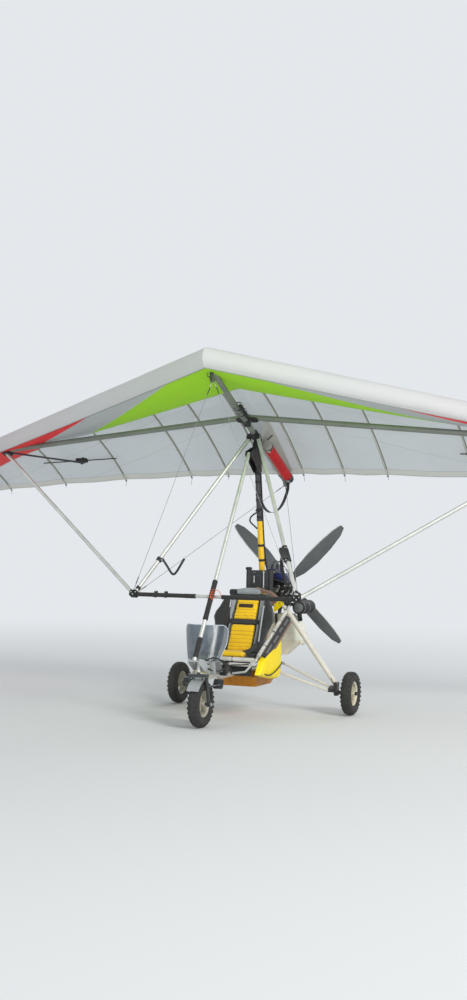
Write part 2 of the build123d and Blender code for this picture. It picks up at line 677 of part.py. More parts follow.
def mudguard():
    centre = (FRONT_AXLE_Y, TYRE_R)
    inner, outer = TYRE_R + 14, TYRE_R + 18
    ring = Pos(0, *centre) * Rot(0, 90, 0) * (Cylinder(outer, 112) - Cylinder(inner, 120))
    wedge = plate([centre, (centre[0] - 420, centre[1] + 290), (centre[0] - 300, centre[1] + 560),
                   (centre[0] + 110, centre[1] + 460)], -80, 160)
    body = ring & wedge
    crown_z = steering_axis(-HEAD_LEN / 2 - 22)[2] - 16
    stay = block(0, centre[0] - 50, (crown_z + 417) / 2, 60, 30, crown_z - 417 + 12)
    stay -= Pos(0, *centre) * Rot(0, 90, 0) * Cylinder(inner + 2, 200)
    return body + (stay - block(0, centre[0] - 50, crown_z + 60, 200, 200, 120))


# Wing. Local frame: x across, y the station along the keel from its nose, z the height square to it.

TILT = math.radians(WING_TILT)
WING = Plane(origin=WING_NOSE, x_dir=(1, 0, 0), z_dir=(0, math.sin(TILT), math.cos(TILT)))


def on_wing(part):
    return WING.location * part


def le_s(x):
    return LE_FRONT_S + LE_SLOPE * x


def te_s(x):
    return 2030 + 0.02 * x + 35e-6 * x * x


def te_n(x):
    """Height of the trailing edge, which rises to the tip with the wing's twist."""
    return 52 + 8e-6 * x * x


def lower_s(x):
    """Rear edge of the lower surface."""
    return 620 + 0.37 * x


# x, set-back of the leading edge, lift of the trailing edge forward, nose radius
STATIONS = [(0, 0, 0, 98), (200, 0, 0, 98), (620, 0, 0, 98), (1050, 0, 0, 97), (1870, 0, 0, 95), (2700, 0, 0, 90),
            (3540, 0, 0, 80), (4200, 0, 0, 66), (4640, 26, 34, 46), (4840, 130, 150, 24)]


def circle_through(a, b, c):
    """Centre and radius of the circle through three points."""
    ax, ay, bx, by, cx, cy = *a, *b, *c
    d = 2 * (ax * (by - cy) + bx * (cy - ay) + cx * (ay - by))
    ux = ((ax * ax + ay * ay) * (by - cy) + (bx * bx + by * by) * (cy - ay) + (cx * cx + cy * cy) * (ay - by)) / d
    uy = ((ax * ax + ay * ay) * (cx - bx) + (bx * bx + by * by) * (ax - cx) + (cx * cx + cy * cy) * (bx - ax)) / d
    return ux, uy, math.hypot(ax - ux, ay - uy)


class Rib:
    """Shape of the wing at one station across the span."""

    def __init__(self, x, set_back, te_forward, nose):
        self.x, self.nose = x, nose
        self.s0, self.s1 = le_s(x) + set_back, te_s(x) - te_forward
        self.chord = self.s1 - self.s0
        self.n0, self.n1 = LE_N, te_n(x)
        self.top = (self.s0 + 0.66 * nose, self.n0 + 0.94 * nose)
        crest = (self.s0 + 0.34 * self.chord, CREST_N + 0.34 * self.n1 + 0.05 * self.chord)
        self.cs, self.cn, self.radius = circle_through(self.top, crest, (self.s1, self.n1 + SAIL_T))
        self.step = min(max(lower_s(x), self.s0 + 2 * nose), self.s1 - 0.2 * self.chord)

    def under(self, s, drop=0):
        """Height under the cloth at a station."""
        r = self.radius - SAIL_T - drop
        return self.cn + math.sqrt(max(r * r - (s - self.cs) ** 2, 0))

    def over(self, s):
        return self.cn + math.sqrt(self.radius ** 2 - (s - self.cs) ** 2)

    def face(self):
        belly = (self.s0 + self.nose, self.n0 - self.nose)
        lip = (self.step, self.under(self.step) - 16)
        mid = 0.5 * (self.top[0] + self.s1)
        mid_under = 0.5 * (self.step + self.s1)
        end_under = (self.s1, self.under(self.s1))
        edge = ThreePointArc(self.top, (mid, self.over(mid)), (self.s1, self.n1 + SAIL_T))
        edge += Line((self.s1, self.n1 + SAIL_T), end_under)
        edge += ThreePointArc(end_under, (mid_under, self.under(mid_under)), (self.step, self.under(self.step)))
        edge += Line((self.step, self.under(self.step)), lip)
        edge += Line(lip, belly)
        front = (self.s0, self.n0)
        edge += ThreePointArc(belly, front, self.top)
        return Plane.YZ.offset(self.x) * make_face(edge)


def rib_at(x):
    """Shape of the wing at any station, between two rows of the table."""
    for low, high in zip(STATIONS, STATIONS[1:]):
        if low[0] <= x <= high[0]:
            share = (x - low[0]) / (high[0] - low[0])
            return Rib(x, *[a + share * (b - a) for a, b in zip(low[1:], high[1:])])


def half_sail():
    """One side of the sail, open where the wing keel's nose and the cross tube's end run up inside it."""
    body = loft([Rib(*row).face() for row in STATIONS], ruled=True)
    body -= tube((0, -60, 0), (0, 900, 0), WING_KEEL_R + NOSE_SLOT)
    body -= block(0, 60, -24, 8 + 2 * NOSE_SLOT, 220, 130)
    x, s, n = JUNCTION
    body -= tube((0, CROSS_S, CROSS_N), (x, s - 16, n), CROSS_R + NOSE_SLOT)
    room = CROSS_R + NOSE_SLOT
    body -= block(x - 10, s - 15, n - 20, 96 + 2 * NOSE_SLOT, 2 * room + 54, 2 * room + 60)
    return main_piece(body)


NOSE_SLOT = 4                # clearance of the sail round the tubes that run up inside it


# x, clearance under the cloth, and behind the lower surface's edge, where the front end bears
BATTENS = ((200, 2, 2.8), (620, 2, 2.8), (1050, 2, 2.8), (1870, 2, 2.8), (2700, 2, 2.8), (3540, 4, 2.8),
           (4200, 6, 3))


def half_battens():
    """Bent tubes under the cloth, from inside the lower surface's edge to past the trailing edge."""
    made = []
    for x, clear, behind in BATTENS:
        rib = rib_at(x)
        drop = BATTEN_R + clear
        s0, s1 = rib.step + behind, rib.s1 + 14
        mid = (s0 + s1) / 2
        path = ThreePointArc((x, s0, rib.under(s0, drop)), (x, mid, rib.under(mid, drop)), (x, s1, rib.under(s1, drop)))
        made.append(sweep(Plane(origin=path @ 0, z_dir=path % 0) * Circle(BATTEN_R), path=path))
    return made


def wing_keel():
    body = tube((0, 0, 0), (0, WING_KEEL_LEN, 0), WING_KEEL_R)
    outline = [(-26, 4), (-26, 26), (110, 26), (150, -20), (84, -98), (66, -108), (42, -102), (8, -56)]
    body += plate(outline, -4, 8)
    tail = REAR_TANG[0]
    body += plate([(tail - 52, -20), (tail - 52, -54), (tail + 28, -54), (tail + 48, -20)], -4, 8)
    body -= Pos(0, NOSE_HOLE[0], NOSE_HOLE[1]) * Rot(0, 90, 0) * Cylinder(NOSE_HOLE_R, 40)
    return body


NOSE_HOLE = (62, -88)        # station and height of the tie-down hole in the nose plate
NOSE_HOLE_R = 6


def cross_tube():
    """The right-hand half of the cross tube, from its centre plate to the junction."""
    end = (JUNCTION[0], JUNCTION[1] - 16, JUNCTION[2])
    half = tube((0, CROSS_S, CROSS_N), end, CROSS_R)
    return half - block(-500 + CROSS_GAP / 2, 0, 0, 1000, 9000, 9000)


def cross_plate():
    """Saddle on the wing keel that the two halves of the cross tube are bolted to."""
    seat = CROSS_N - CROSS_R - 14
    body = block(0, CROSS_S - 4, (seat + WING_KEEL_R) / 2 + 4, 210, 76, 10, 24, Axis.Z)
    body += block(0, CROSS_S - 4, 4, 62, 70, 62, 8, Axis.Y)
    body -= tube((0, 0, 0), (0, 3000, 0), WING_KEEL_R)
    return body - cross_tube() - mirrored(cross_tube())


def apex():
    """Clamp on the wing keel that carries the uprights and the cross tube."""
    body = block(0, APEX_S, -6, 2 * WING_KEEL_R + 16, 76, 2 * WING_KEEL_R + 16, 8, Axis.Y)
    for side in (-1, 1):
        body += block(side * UPRIGHT_TOP_X, APEX_S, -34, 30, 44, 54, 8, Axis.Y)
    return body - tube((0, -100, 0), (0, 3000, 0), WING_KEEL_R)


UPRIGHT_TOP = (UPRIGHT_TOP_X, APEX_S, -52)


def upright():
    body = tube(UPRIGHT_TOP, (BAR_HALF, BAR_S, BAR_N), UPRIGHT_R)
    return body - apex() - bar_end(1)


def bar_end(side):
    """Corner fitting that joins the bar, an upright, a lift strut and the wires."""
    x = side * BAR_HALF
    return block(x, BAR_S, BAR_N + 4, 74, 46, 58, 14, Axis.Y)


def control_bar():
    body = tube((-BAR_HALF, BAR_S, BAR_N), (BAR_HALF, BAR_S, BAR_N), BAR_R)
    body += bar_end(1) + bar_end(-1)
    for x in (8 - BAR_HALF, BAR_HALF - 8):
        body += block(x, BAR_S, BAR_N + 26, 8, 68, 14)
    return body


def bar_grips():
    """Foam grips on the bar, one each side of the bare middle."""
    # start, end
    spans = [(-BAR_HALF + 38, -262), (BAR_HALF - 38, 88)]
    grips = []
    for x0, x1 in spans:
        grips.append(tube((min(x0, x1), BAR_S, BAR_N), (max(x0, x1), BAR_S, BAR_N), GRIP_R, BAR_R))
    return Compound(children=grips)


def lift_strut():
    x, s, n = JUNCTION
    body = tube((BAR_HALF + 20, BAR_S, BAR_N + 16), (x - 4, s + 2, n - CROSS_R - 6), LIFT_R)
    return main_piece(body - bar_end(1) - junction_fitting())


def junction_fitting():
    """Bracket at the outer end of the cross tube, under the leading edge."""
    x, s, n = JUNCTION
    body = block(x - 10, s - 4, n - 6, 96, 84, 2 * CROSS_R + 20, 10, Axis.Z)
    body -= tube((0, CROSS_S, CROSS_N), (JUNCTION[0], JUNCTION[1] - 16, JUNCTION[2]), CROSS_R)
    return body


def sprog():
    """Tube from the junction in under the rear battens, with a cross rod that holds two of them up."""
    x, s, n = JUNCTION
    rod_s = 1850
    arm_end = (2240, rod_s + 16)
    outer, inner = rib_at(2700), rib_at(1870)
    drop = 2 * BATTEN_R + 10
    a = (2760, rod_s + 60, outer.under(rod_s + 60, drop))
    b = (1810, rod_s - 60, inner.under(rod_s - 60, drop))
    rod = tube(a, b, 6)
    mid_n = (a[2] + b[2]) / 2
    arm = tube((x - 30, s + 30, n - 6), (arm_end[0], arm_end[1], mid_n - 16), 10)
    clamp = block(arm_end[0] + 10, rod_s, mid_n - 8, 60, 50, 26, 5, Axis.Z)
    return rod + arm + clamp - junction_fitting()


def stay_wires():
    """Front and rear wires from the corners of the control frame to the wing keel."""
    wires = []
    for side in (-1, 1):
        corner = (side * (BAR_HALF - 8), BAR_S, BAR_N + 26)
        for tang, end in ((-34, FRONT_TANG), (34, REAR_TANG)):
            wire = tube((corner[0], BAR_S + tang, corner[2]), (side * 6.5, *end), WIRE_R)
            wires.append(wire)
    bar = control_bar()
    return Compound(children=[main_piece(w - bar) for w in wires])


def hang_block():
    """Clamp that turns on the wing keel and hangs on the bolt between the mast head's plates."""
    r = WING_KEEL_R
    body = tube((0, HANG_S - 32, 0), (0, HANG_S + 32, 0), r + 14, r + RUNNING)
    hang_n = -math.dist(hang_local(), (0, HANG_S, 0))
    body += block(0, HANG_S, (hang_n - r - 12) / 2, 2 * (HEAD_PLATE_X - 1), 44, -(hang_n) - r)
    body += Pos(0, *hang_local()[1:]) * Rot(0, 90, 0) * Cylinder(22, 2 * (HEAD_PLATE_X - 1))
    body -= tube((0, HANG_S - 60, 0), (0, HANG_S + 60, 0), r + RUNNING)
    body -= Pos(0, *hang_local()[1:]) * Rot(0, 90, 0) * Cylinder(HANG_BOLT_R + RUNNING, 200)
    return body


def hang_local():
    """The hang bolt's centre in the wing's frame."""
    dy, dz = HANG[1] - WING_NOSE[1], HANG[2] - WING_NOSE[2]
    c, s = math.cos(TILT), math.sin(TILT)
    return (0, dy * c - dz * s, dy * s + dz * c)


CHUTE = (72, 1290, -28)      # x, first station and height of the canister's axis
CHUTE_LEN = 712
CHUTE_R = 43


def chute_canister():
    x, s, n = CHUTE
    body = tube((x, s, n), (x, s + CHUTE_LEN, n), CHUTE_R)
    body = fillet(body.edges(), 16)
    for at in (60, CHUTE_LEN - 70):
        loop = make_hull((Pos(0, 0) * Circle(WING_KEEL_R + 3)).edges() + (Pos(x, n) * Circle(CHUTE_R + 3)).edges())
        band = extrude(Plane.XZ.offset(-(s + at)) * loop, -26)
        body += band - tube((0, s, 0), (0, s + CHUTE_LEN, 0), WING_KEEL_R)
    return body


def build():
    keel_front = base_frame()
    parts = {
        "base_frame": keel_front,
        "nose_bracket": nose_bracket() - keel_front,
        "front_strut": strut_foot_part() - nose_bracket() - mast_head(),
        "mast_lower": mast_part(MAST_FOOT[2], MAST_SPLIT_Z) - keel_front,
        "mast_upper": mast_part(MAST_SPLIT_Z, MAST_TOP_Z - 108) - mast_head(),
        "mast_head": mast_head(),
        "gear_legs": pair(gear_legs()),
        "axle_stubs": pair(knuckle()),
        "drag_struts": drag_struts(),
        "seat_rails": seat_rails() - keel_front,
        "seat_shell": seat_shell(),
        "backrest_pad": backrest_pad(),
        "side_strips": pair(side_strips()),
        "base_pad": base_pad(),
        "head_roll": head_roll(),
        "belly_tub": belly_tub(),
        "side_pods": side_pods(),
        "side_flaps": pair(side_flap()),
        "fuel_tank": fuel_tank(),
        "windscreen": windscreen(),
        "screen_bracket": screen_bracket() - keel_front - windscreen(),
        "engine_mount": engine_mount(),
        "gussets": pair(gusset() - gear_legs()),
        "crankcase": crankcase(),
        "cylinders": cylinders(),
        "gearbox": gearbox(),
        "intake": intake(),
        "exhaust": exhaust(),
        "muffler": muffler(),
        "radiator": radiator(),
        "fork": fork(),
        "mudguard": mudguard(),
        "front_rim": rim(0, FRONT_AXLE_Y),
        "front_tyre": tyre(0, FRONT_AXLE_Y),
        "left_rim": rim(TRACK_HALF, REAR_AXLE_Y),
        "left_tyre": tyre(TRACK_HALF, REAR_AXLE_Y),
        "right_rim": rim(-TRACK_HALF, REAR_AXLE_Y),
        "right_tyre": tyre(-TRACK_HALF, REAR_AXLE_Y),
        "propeller_hub": prop_hub(),
        "propeller_blades": prop_blades(),
        "hang_block": on_wing(hang_block()),
        "wing_keel": on_wing(wing_keel()),
        "apex_clamp": on_wing(apex()),
        "cross_tube": on_wing(pair(cross_tube())),
        "cross_plate": on_wing(cross_plate()),
        "junction_fittings": on_wing(pair(junction_fitting())),
        "sail_left": on_wing(half_sail()),
        "sail_right": on_wing(mirrored(half_sail())),
        "battens": on_wing(Compound(children=[c for b in half_battens() for c in (b, mirrored(b))])),
        "uprights": on_wing(pair(upright())),
        "control_bar": on_wing(control_bar()),
        "bar_grips": on_wing(bar_grips()),
        "lift_struts": on_wing(pair(lift_strut())),
        "sprogs": on_wing(pair(sprog())),
        "stay_wires": on_wing(stay_wires()),
        "chute_canister": on_wing(chute_canister()),
    }
    boxes = [p.bounding_box() for p in parts.values()]
    shift = -(min(b.min.Y for b in boxes) + max(b.max.Y for b in boxes)) / 2
    for name, part in parts.items():
        export_step(Pos(0, shift, 0) * part, f"parts/{name}.step")
    print("shift of Y", round(shift, 3))


build()
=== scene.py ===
import math

import bmesh
import bpy
from mathutils import Matrix, Vector


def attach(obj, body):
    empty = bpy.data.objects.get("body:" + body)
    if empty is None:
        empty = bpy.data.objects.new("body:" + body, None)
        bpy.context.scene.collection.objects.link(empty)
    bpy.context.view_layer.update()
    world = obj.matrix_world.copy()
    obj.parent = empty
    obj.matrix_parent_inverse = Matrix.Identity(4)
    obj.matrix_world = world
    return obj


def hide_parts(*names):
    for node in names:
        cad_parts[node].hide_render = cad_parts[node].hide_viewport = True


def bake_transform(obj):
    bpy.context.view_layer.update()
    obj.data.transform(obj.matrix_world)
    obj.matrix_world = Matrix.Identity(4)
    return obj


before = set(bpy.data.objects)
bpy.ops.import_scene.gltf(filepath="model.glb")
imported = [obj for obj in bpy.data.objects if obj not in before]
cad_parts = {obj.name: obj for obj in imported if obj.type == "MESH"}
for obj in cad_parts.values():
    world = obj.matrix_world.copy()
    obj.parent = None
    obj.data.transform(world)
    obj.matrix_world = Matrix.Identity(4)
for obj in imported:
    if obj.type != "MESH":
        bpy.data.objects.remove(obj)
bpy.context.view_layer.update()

# Camera, floor and light
# The picture is an upright one, taken at eye height from in front of the machine and a little to its left.
# Places are written as on the machine's drawing, in metres, and shifted to the middle of the machine.
DRAWING_SHIFT = -0.285099


def place(x, y, z):
    """Point of the drawing, in the frame."""
    return Vector((x, y + DRAWING_SHIFT, z))


EYE = place(4.296, -10.538, 1.519)
EYE_YAW, EYE_PITCH, EYE_ROLL = 22.88, 2.291, 1.07
LENS = 44.1

camera_data = bpy.data.cameras.new("camera")
camera_data.lens = LENS
camera_data.sensor_width = 36
look = Matrix.Rotation(math.radians(EYE_YAW), 4, "Z") @ Matrix.Rotation(math.radians(90 + EYE_PITCH), 4, "X")
bpy.context.scene.view_settings.view_transform = "Standard"


def tone(red, green, blue):
    """Surface colour from the 0 to 255 values that it shows as on a screen."""
    def linear(value):
        share = value / 255
        return share / 12.92 if share <= 0.04045 else ((share + 0.055) / 1.055) ** 2.4
    return (linear(red), linear(green), linear(blue), 1)


def shown(name, data):
    """Object of this name in the scene."""
    made = bpy.data.objects.new(name, data)
    bpy.context.scene.collection.objects.link(made)
    return made


camera = shown("camera", camera_data)
camera.matrix_world = Matrix.Translation(EYE) @ look @ Matrix.Rotation(math.radians(EYE_ROLL), 4, "Z")
bpy.context.scene.camera = camera


def plain_floor(colour, far):
    """Pale matt floor that passes into the backdrop's own brightness with distance."""
    material = bpy.data.materials.new("floor")
    material.use_nodes = True
    nodes, links = material.node_tree.nodes, material.node_tree.links
    bsdf = nodes["Principled BSDF"]
    bsdf.inputs["Base Color"].default_value = colour
    bsdf.inputs["Roughness"].default_value = 0.95
    bsdf.inputs["Specular IOR Level"].default_value = 0.1
    glow, mix = nodes.new("ShaderNodeEmission"), nodes.new("ShaderNodeMixShader")
    glow.inputs["Color"].default_value = far
    coords, length, spread = (nodes.new("ShaderNode" + n) for n in ("TexCoord", "VectorMath", "MapRange"))
    length.operation = "LENGTH"
    spread.interpolation_type = "SMOOTHSTEP"
    spread.inputs["From Min"].default_value, spread.inputs["From Max"].default_value = FADE
    links.new(coords.outputs["Object"], length.inputs[0])
    links.new(length.outputs["Value"], spread.inputs["Value"])
    links.new(spread.outputs[0], mix.inputs[0])
    links.new(bsdf.outputs[0], mix.inputs[1])
    links.new(glow.outputs[0], mix.inputs[2])
    links.new(mix.outputs[0], nodes["Material Output"].inputs["Surface"])
    return material


BACKDROP = tone(228, 232, 236)
FADE = 2, 15                 # distances between which the floor takes on the backdrop's brightness
FLOOR_RADIUS, FLOOR_DROP = 60, 0.002
bm = bmesh.new()
bmesh.ops.create_circle(bm, cap_ends=True, segments=96, radius=FLOOR_RADIUS)
bmesh.ops.translate(bm, verts=bm.verts, vec=(0, 0, -FLOOR_DROP))
floor_mesh = bpy.data.meshes.new("floor")
bm.to_mesh(floor_mesh)
bm.free()
floor_mesh.materials.append(plain_floor(tone(224, 226, 225), BACKDROP))
floor = shown("floor", floor_mesh)


def soft_box(name, at, aim, size, power, colour):
    """Large flat lamp turned towards a point."""
    lamp = bpy.data.lights.new(name, "AREA")
    lamp.shape = "RECTANGLE"
    lamp.size, lamp.size_y = size
    lamp.energy = power
    lamp.color = colour
    holder = shown(name, lamp)
    holder.location = at
    holder.rotation_euler = (Vector(aim) - Vector(at)).to_track_quat("-Z", "Y").to_euler()


soft_box("key", (13, -9, 10), (0, 0, 1.6), (5, 5), 1750, (1, 0.985, 0.96))
soft_box("fill", (-12, -9, 6), (0, 0, 1.8), (8, 6), 60, (0.9, 0.95, 1))
soft_box("low", (5, -14, 1.1), (0, 0, 2.6), (9, 2), 420, (1, 1, 0.98))
soft_box("back", (2, 14, 9), (0, 0, 2), (10, 6), 460, (0.97, 0.98, 1))

world = bpy.data.worlds.new("studio")
bpy.context.scene.world = world
world.use_nodes = True
nodes, links = world.node_tree.nodes, world.node_tree.links
lit, seen = nodes["Background"], nodes.new("ShaderNodeBackground")
lit.inputs["Color"].default_value = (0.9, 0.95, 1, 1)
lit.inputs["Strength"].default_value = 0.54
seen.inputs["Color"].default_value = BACKDROP
seen.inputs["Strength"].default_value = 1
path, either, both, mixed = (nodes.new("ShaderNode" + n) for n in ("LightPath", "Math", "Math", "MixShader"))
either.operation = both.operation = "MAXIMUM"
links.new(path.outputs["Is Camera Ray"], either.inputs[0])
links.new(path.outputs["Is Glossy Ray"], either.inputs[1])
links.new(either.outputs[0], both.inputs[0])
links.new(path.outputs["Is Transmission Ray"], both.inputs[1])
links.new(both.outputs[0], mixed.inputs[0])
links.new(lit.outputs[0], mixed.inputs[1])
links.new(seen.outputs[0], mixed.inputs[2])
links.new(mixed.outputs[0], nodes["World Output"].inputs["Surface"])


# Frame tubes
# Drawn aluminium tube, part of it painted, cut to length and pinned between cheek plates with bolts.
# Each tube keeps the drawing's shape and gets its metal, with the draw lines, smears and dull spots of use.
class Finish:
    """Material in the making: a Principled shader with helpers for what real surfaces show. Colours are given as
    three numbers from 0 to 255."""

    def __init__(self, name, colour, rough, metal=0.0, **sockets):
        self.material = bpy.data.materials.new(name)
        self.material.use_nodes = True
        self.nodes = self.material.node_tree.nodes
        self.links = self.material.node_tree.links
        self.bsdf = self.nodes["Principled BSDF"]
        self.colour, self.rough, self.height = tone(*colour), rough, None
        for socket, value in dict(sockets, Base_Color=self.colour, Roughness=rough, Metallic=metal).items():
            self.bsdf.inputs[socket.replace("_", " ")].default_value = value

    def node(self, kind, **settings):
        """New node of a kind: a name with a capital sets an input, any other a setting."""
        made = self.nodes.new("ShaderNode" + kind)
        for name, value in settings.items():
            if name[0].isupper():
                made.inputs[name.replace("_", " ")].default_value = value
            else:
                setattr(made, name, value)
        return made

    def math(self, operation, a, b=None, c=None):
        """Result of a sum on sockets or numbers."""
        made = self.node("Math", operation=operation)
        for i, value in enumerate((a, b, c)):
            if isinstance(value, bpy.types.NodeSocket):
                self.links.new(value, made.inputs[i])
            elif value is not None:
                made.inputs[i].default_value = value
        return made.outputs[0]

    def here(self, scale=(1, 1, 1), turn=(0, 0, 0)):
        """Object coordinates, stretched and turned."""
        made = self.node("Mapping", Scale=scale, Rotation=[math.radians(a) for a in turn])
        self.links.new(self.node("TexCoord").outputs["Object"], made.inputs["Vector"])
        return made.outputs[0]

    def cloud(self, scale, detail=4, vector=None, low=0.3, high=0.7):
        """Noise from 0 to 1, spread out between two of its levels."""
        made = self.node("TexNoise", Scale=scale, Detail=detail)
        self.links.new(vector or self.here(), made.inputs["Vector"])
        spread = self.node("MapRange", From_Min=low, From_Max=high)
        self.links.new(made.outputs[0], spread.inputs["Value"])
        return spread.outputs[0]

    def own(self, name):
        """Value that the mesh carries under this name."""
        return self.node("Attribute", attribute_name=name).outputs["Fac"]

    def tint(self, where, colour, share=1.0):
        """Mixes a colour in where a value is 1."""
        mix = self.node("Mix", data_type="RGBA")
        self.links.new(self.math("MULTIPLY", where, share), mix.inputs["Factor"])
        socket = self.bsdf.inputs["Base Color"]
        if socket.is_linked:
            self.links.new(socket.links[0].from_socket, mix.inputs["A"])
        else:
            mix.inputs["A"].default_value = self.colour
        mix.inputs["B"].default_value = tone(*colour)
        self.links.new(mix.outputs["Result"], socket)
        return self

    def dull(self, where, amount):
        """Adds to the roughness where a value is 1."""
        socket = self.bsdf.inputs["Roughness"]
        base = socket.links[0].from_socket if socket.is_linked else self.rough
        self.links.new(self.math("MULTIPLY_ADD", where, amount, base), socket)
        return self

    def raise_by(self, where, depth):
        """Adds relief, in metres."""
        lifted = self.math("MULTIPLY", where, depth)
        self.height = lifted if self.height is None else self.math("ADD", self.height, lifted)
        return self

    def done(self):
        """The material, with its relief joined to the shader."""
        if self.height is not None:
            bump = self.node("Bump", Distance=1, Strength=1)
            self.links.new(self.height, bump.inputs["Height"])
            self.links.new(bump.outputs[0], self.bsdf.inputs["Normal"])
        return self.material


def tube_metal():
    """Satin anodised aluminium with fine scratches and dull patches."""
    f = Finish("tube_metal", (216, 217, 212), 0.34, metal=0.55)
    blotch, fine = f.cloud(7), f.cloud(420, vector=f.here((1, 1, 0.06)))
    f.tint(blotch, (176, 179, 174), 0.55)
    f.tint(f.cloud(60, low=0.62, high=0.72), (120, 118, 108), 0.35)
    f.dull(fine, 0.16).raise_by(fine, 0.00004)
    return f.done()


def shaded_tube_metal():
    """The same metal with painted shade: darker and greyer, for the tubes that lie in the sail's shadow, and duller
    where the sail rubs.
    """
    f = Finish("tube_metal_painted_shade", (134, 140, 130), 0.5, metal=0.25)
    f.tint(f.cloud(6), (112, 118, 110), 0.6)
    f.tint(f.cloud(60, low=0.62, high=0.72), (84, 84, 76), 0.35)
    return f.dull(f.cloud(420, vector=f.here((0.06, 1, 1))), 0.14).done()


def used(name, colour, shade, rough, metal=0.0, grain=500, depth=0.00004, dirt=(98, 92, 74), patches=(6, 0.5),
         specks=(70, 0.6, 0.74, 0.28), smears=(25, 0.16), **sockets):
    """Surface faded in patches, with specks of dirt, smears and a fine grain: each is its scale, its noise levels
    if they matter, and how much it shows."""
    f = Finish(name, colour, rough, metal, **sockets)
    f.tint(f.cloud(patches[0]), shade, patches[1])
    f.tint(f.cloud(specks[0], low=specks[1], high=specks[2]), dirt, specks[3])
    return f.dull(f.cloud(smears[0]), smears[1]).raise_by(f.cloud(grain), depth).done()


def gloss_paint(name, colour, shade):
    """Sprayed paint with a little orange peel, and dust in it."""
    return used(name, colour, shade, 0.3, grain=900, depth=0.00003, dirt=(110, 100, 70), patches=(5, 0.45),
                specks=(150, 0.66, 0.72, 0.4), smears=(30, 0.14), Coat_Weight=0.25, Coat_Roughness=0.15)


def dress(material, *names):
    """Gives CAD nodes their finish."""
    for name in names:
        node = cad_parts[name]
        node.data.materials.clear()
        node.data.materials.append(material)


dress(tube_metal(), "front_strut", "base_frame", "seat_rails", "battens", "uprights", "lift_struts")
dress(shaded_tube_metal(), "wing_keel", "cross_tube")
dress(gloss_paint("yellow_paint", (246, 196, 12), (226, 172, 8)), "mast_lower")
dress(gloss_paint("lemon_paint", (250, 222, 6), (236, 204, 4)), "gussets")
dress(gloss_paint("dark_paint", (48, 52, 54), (66, 68, 68)), "mast_upper", "fork", "sprogs")
dress(gloss_paint("bracket_grey", (172, 176, 176), (148, 152, 152)), "nose_bracket")
dress(gloss_paint("black_paint", (26, 28, 29), (42, 43, 42)), "axle_stubs")


# Sail
# Polyester cloth sewn as a left and a right half. The upper sheet wraps round the nose from the seam underneath
# and lies on the battens to the trailing edge; the lower sheet runs from that seam to its own free edge.
WING_NOSE = place(0, -0.92, 3.076)
WING_TILT = 24.6
ROOT_START, ROOT_END, SWEEP = -0.2, 2.03, 0.49        # the leading and trailing edge at the keel, along it
WING = Matrix.Translation(WING_NOSE) @ Matrix.Rotation(math.radians(-WING_TILT), 4, "X")
NOSE_ARC = math.radians(160)         # how far round the nose the upper sheet lies on it
NOSE_HEIGHT, STEP_GAP, LOWER_SAG = 0.034, 0.022, 0.012
BATTEN_X = (0.2, 0.62, 1.05, 1.87, 2.7, 3.54, 4.2)
# Rows of x, nose radius, set-back of the leading edge, and how far forward the trailing edge comes.
RIBS = ((0, 0.098, 0, 0), (0.62, 0.098, 0, 0), (1.05, 0.097, 0, 0), (1.87, 0.095, 0, 0), (2.7, 0.09, 0, 0),
        (3.54, 0.08, 0, 0), (4.2, 0.066, 0, 0), (4.64, 0.046, 0.026, 0.034), (4.84, 0.024, 0.13, 0.15))


def on_wing(across, station, height):
    """Point given across, along and square to the wing keel, in the frame."""
    return WING @ Vector((across, station, height))


def wing_way(across, station, height):
    """Direction in the wing's own axes, in the frame."""
    return WING.to_3x3() @ Vector((across, station, height))


def between(rows, x, column):
    """Value of a column of a table at x, on straight lines between its rows."""
    for a, b in zip(rows, rows[1:]):
        if x <= b[0]:
            share = (x - a[0]) / (b[0] - a[0])
            return a[column] + share * (b[column] - a[column])
    return rows[-1][column]


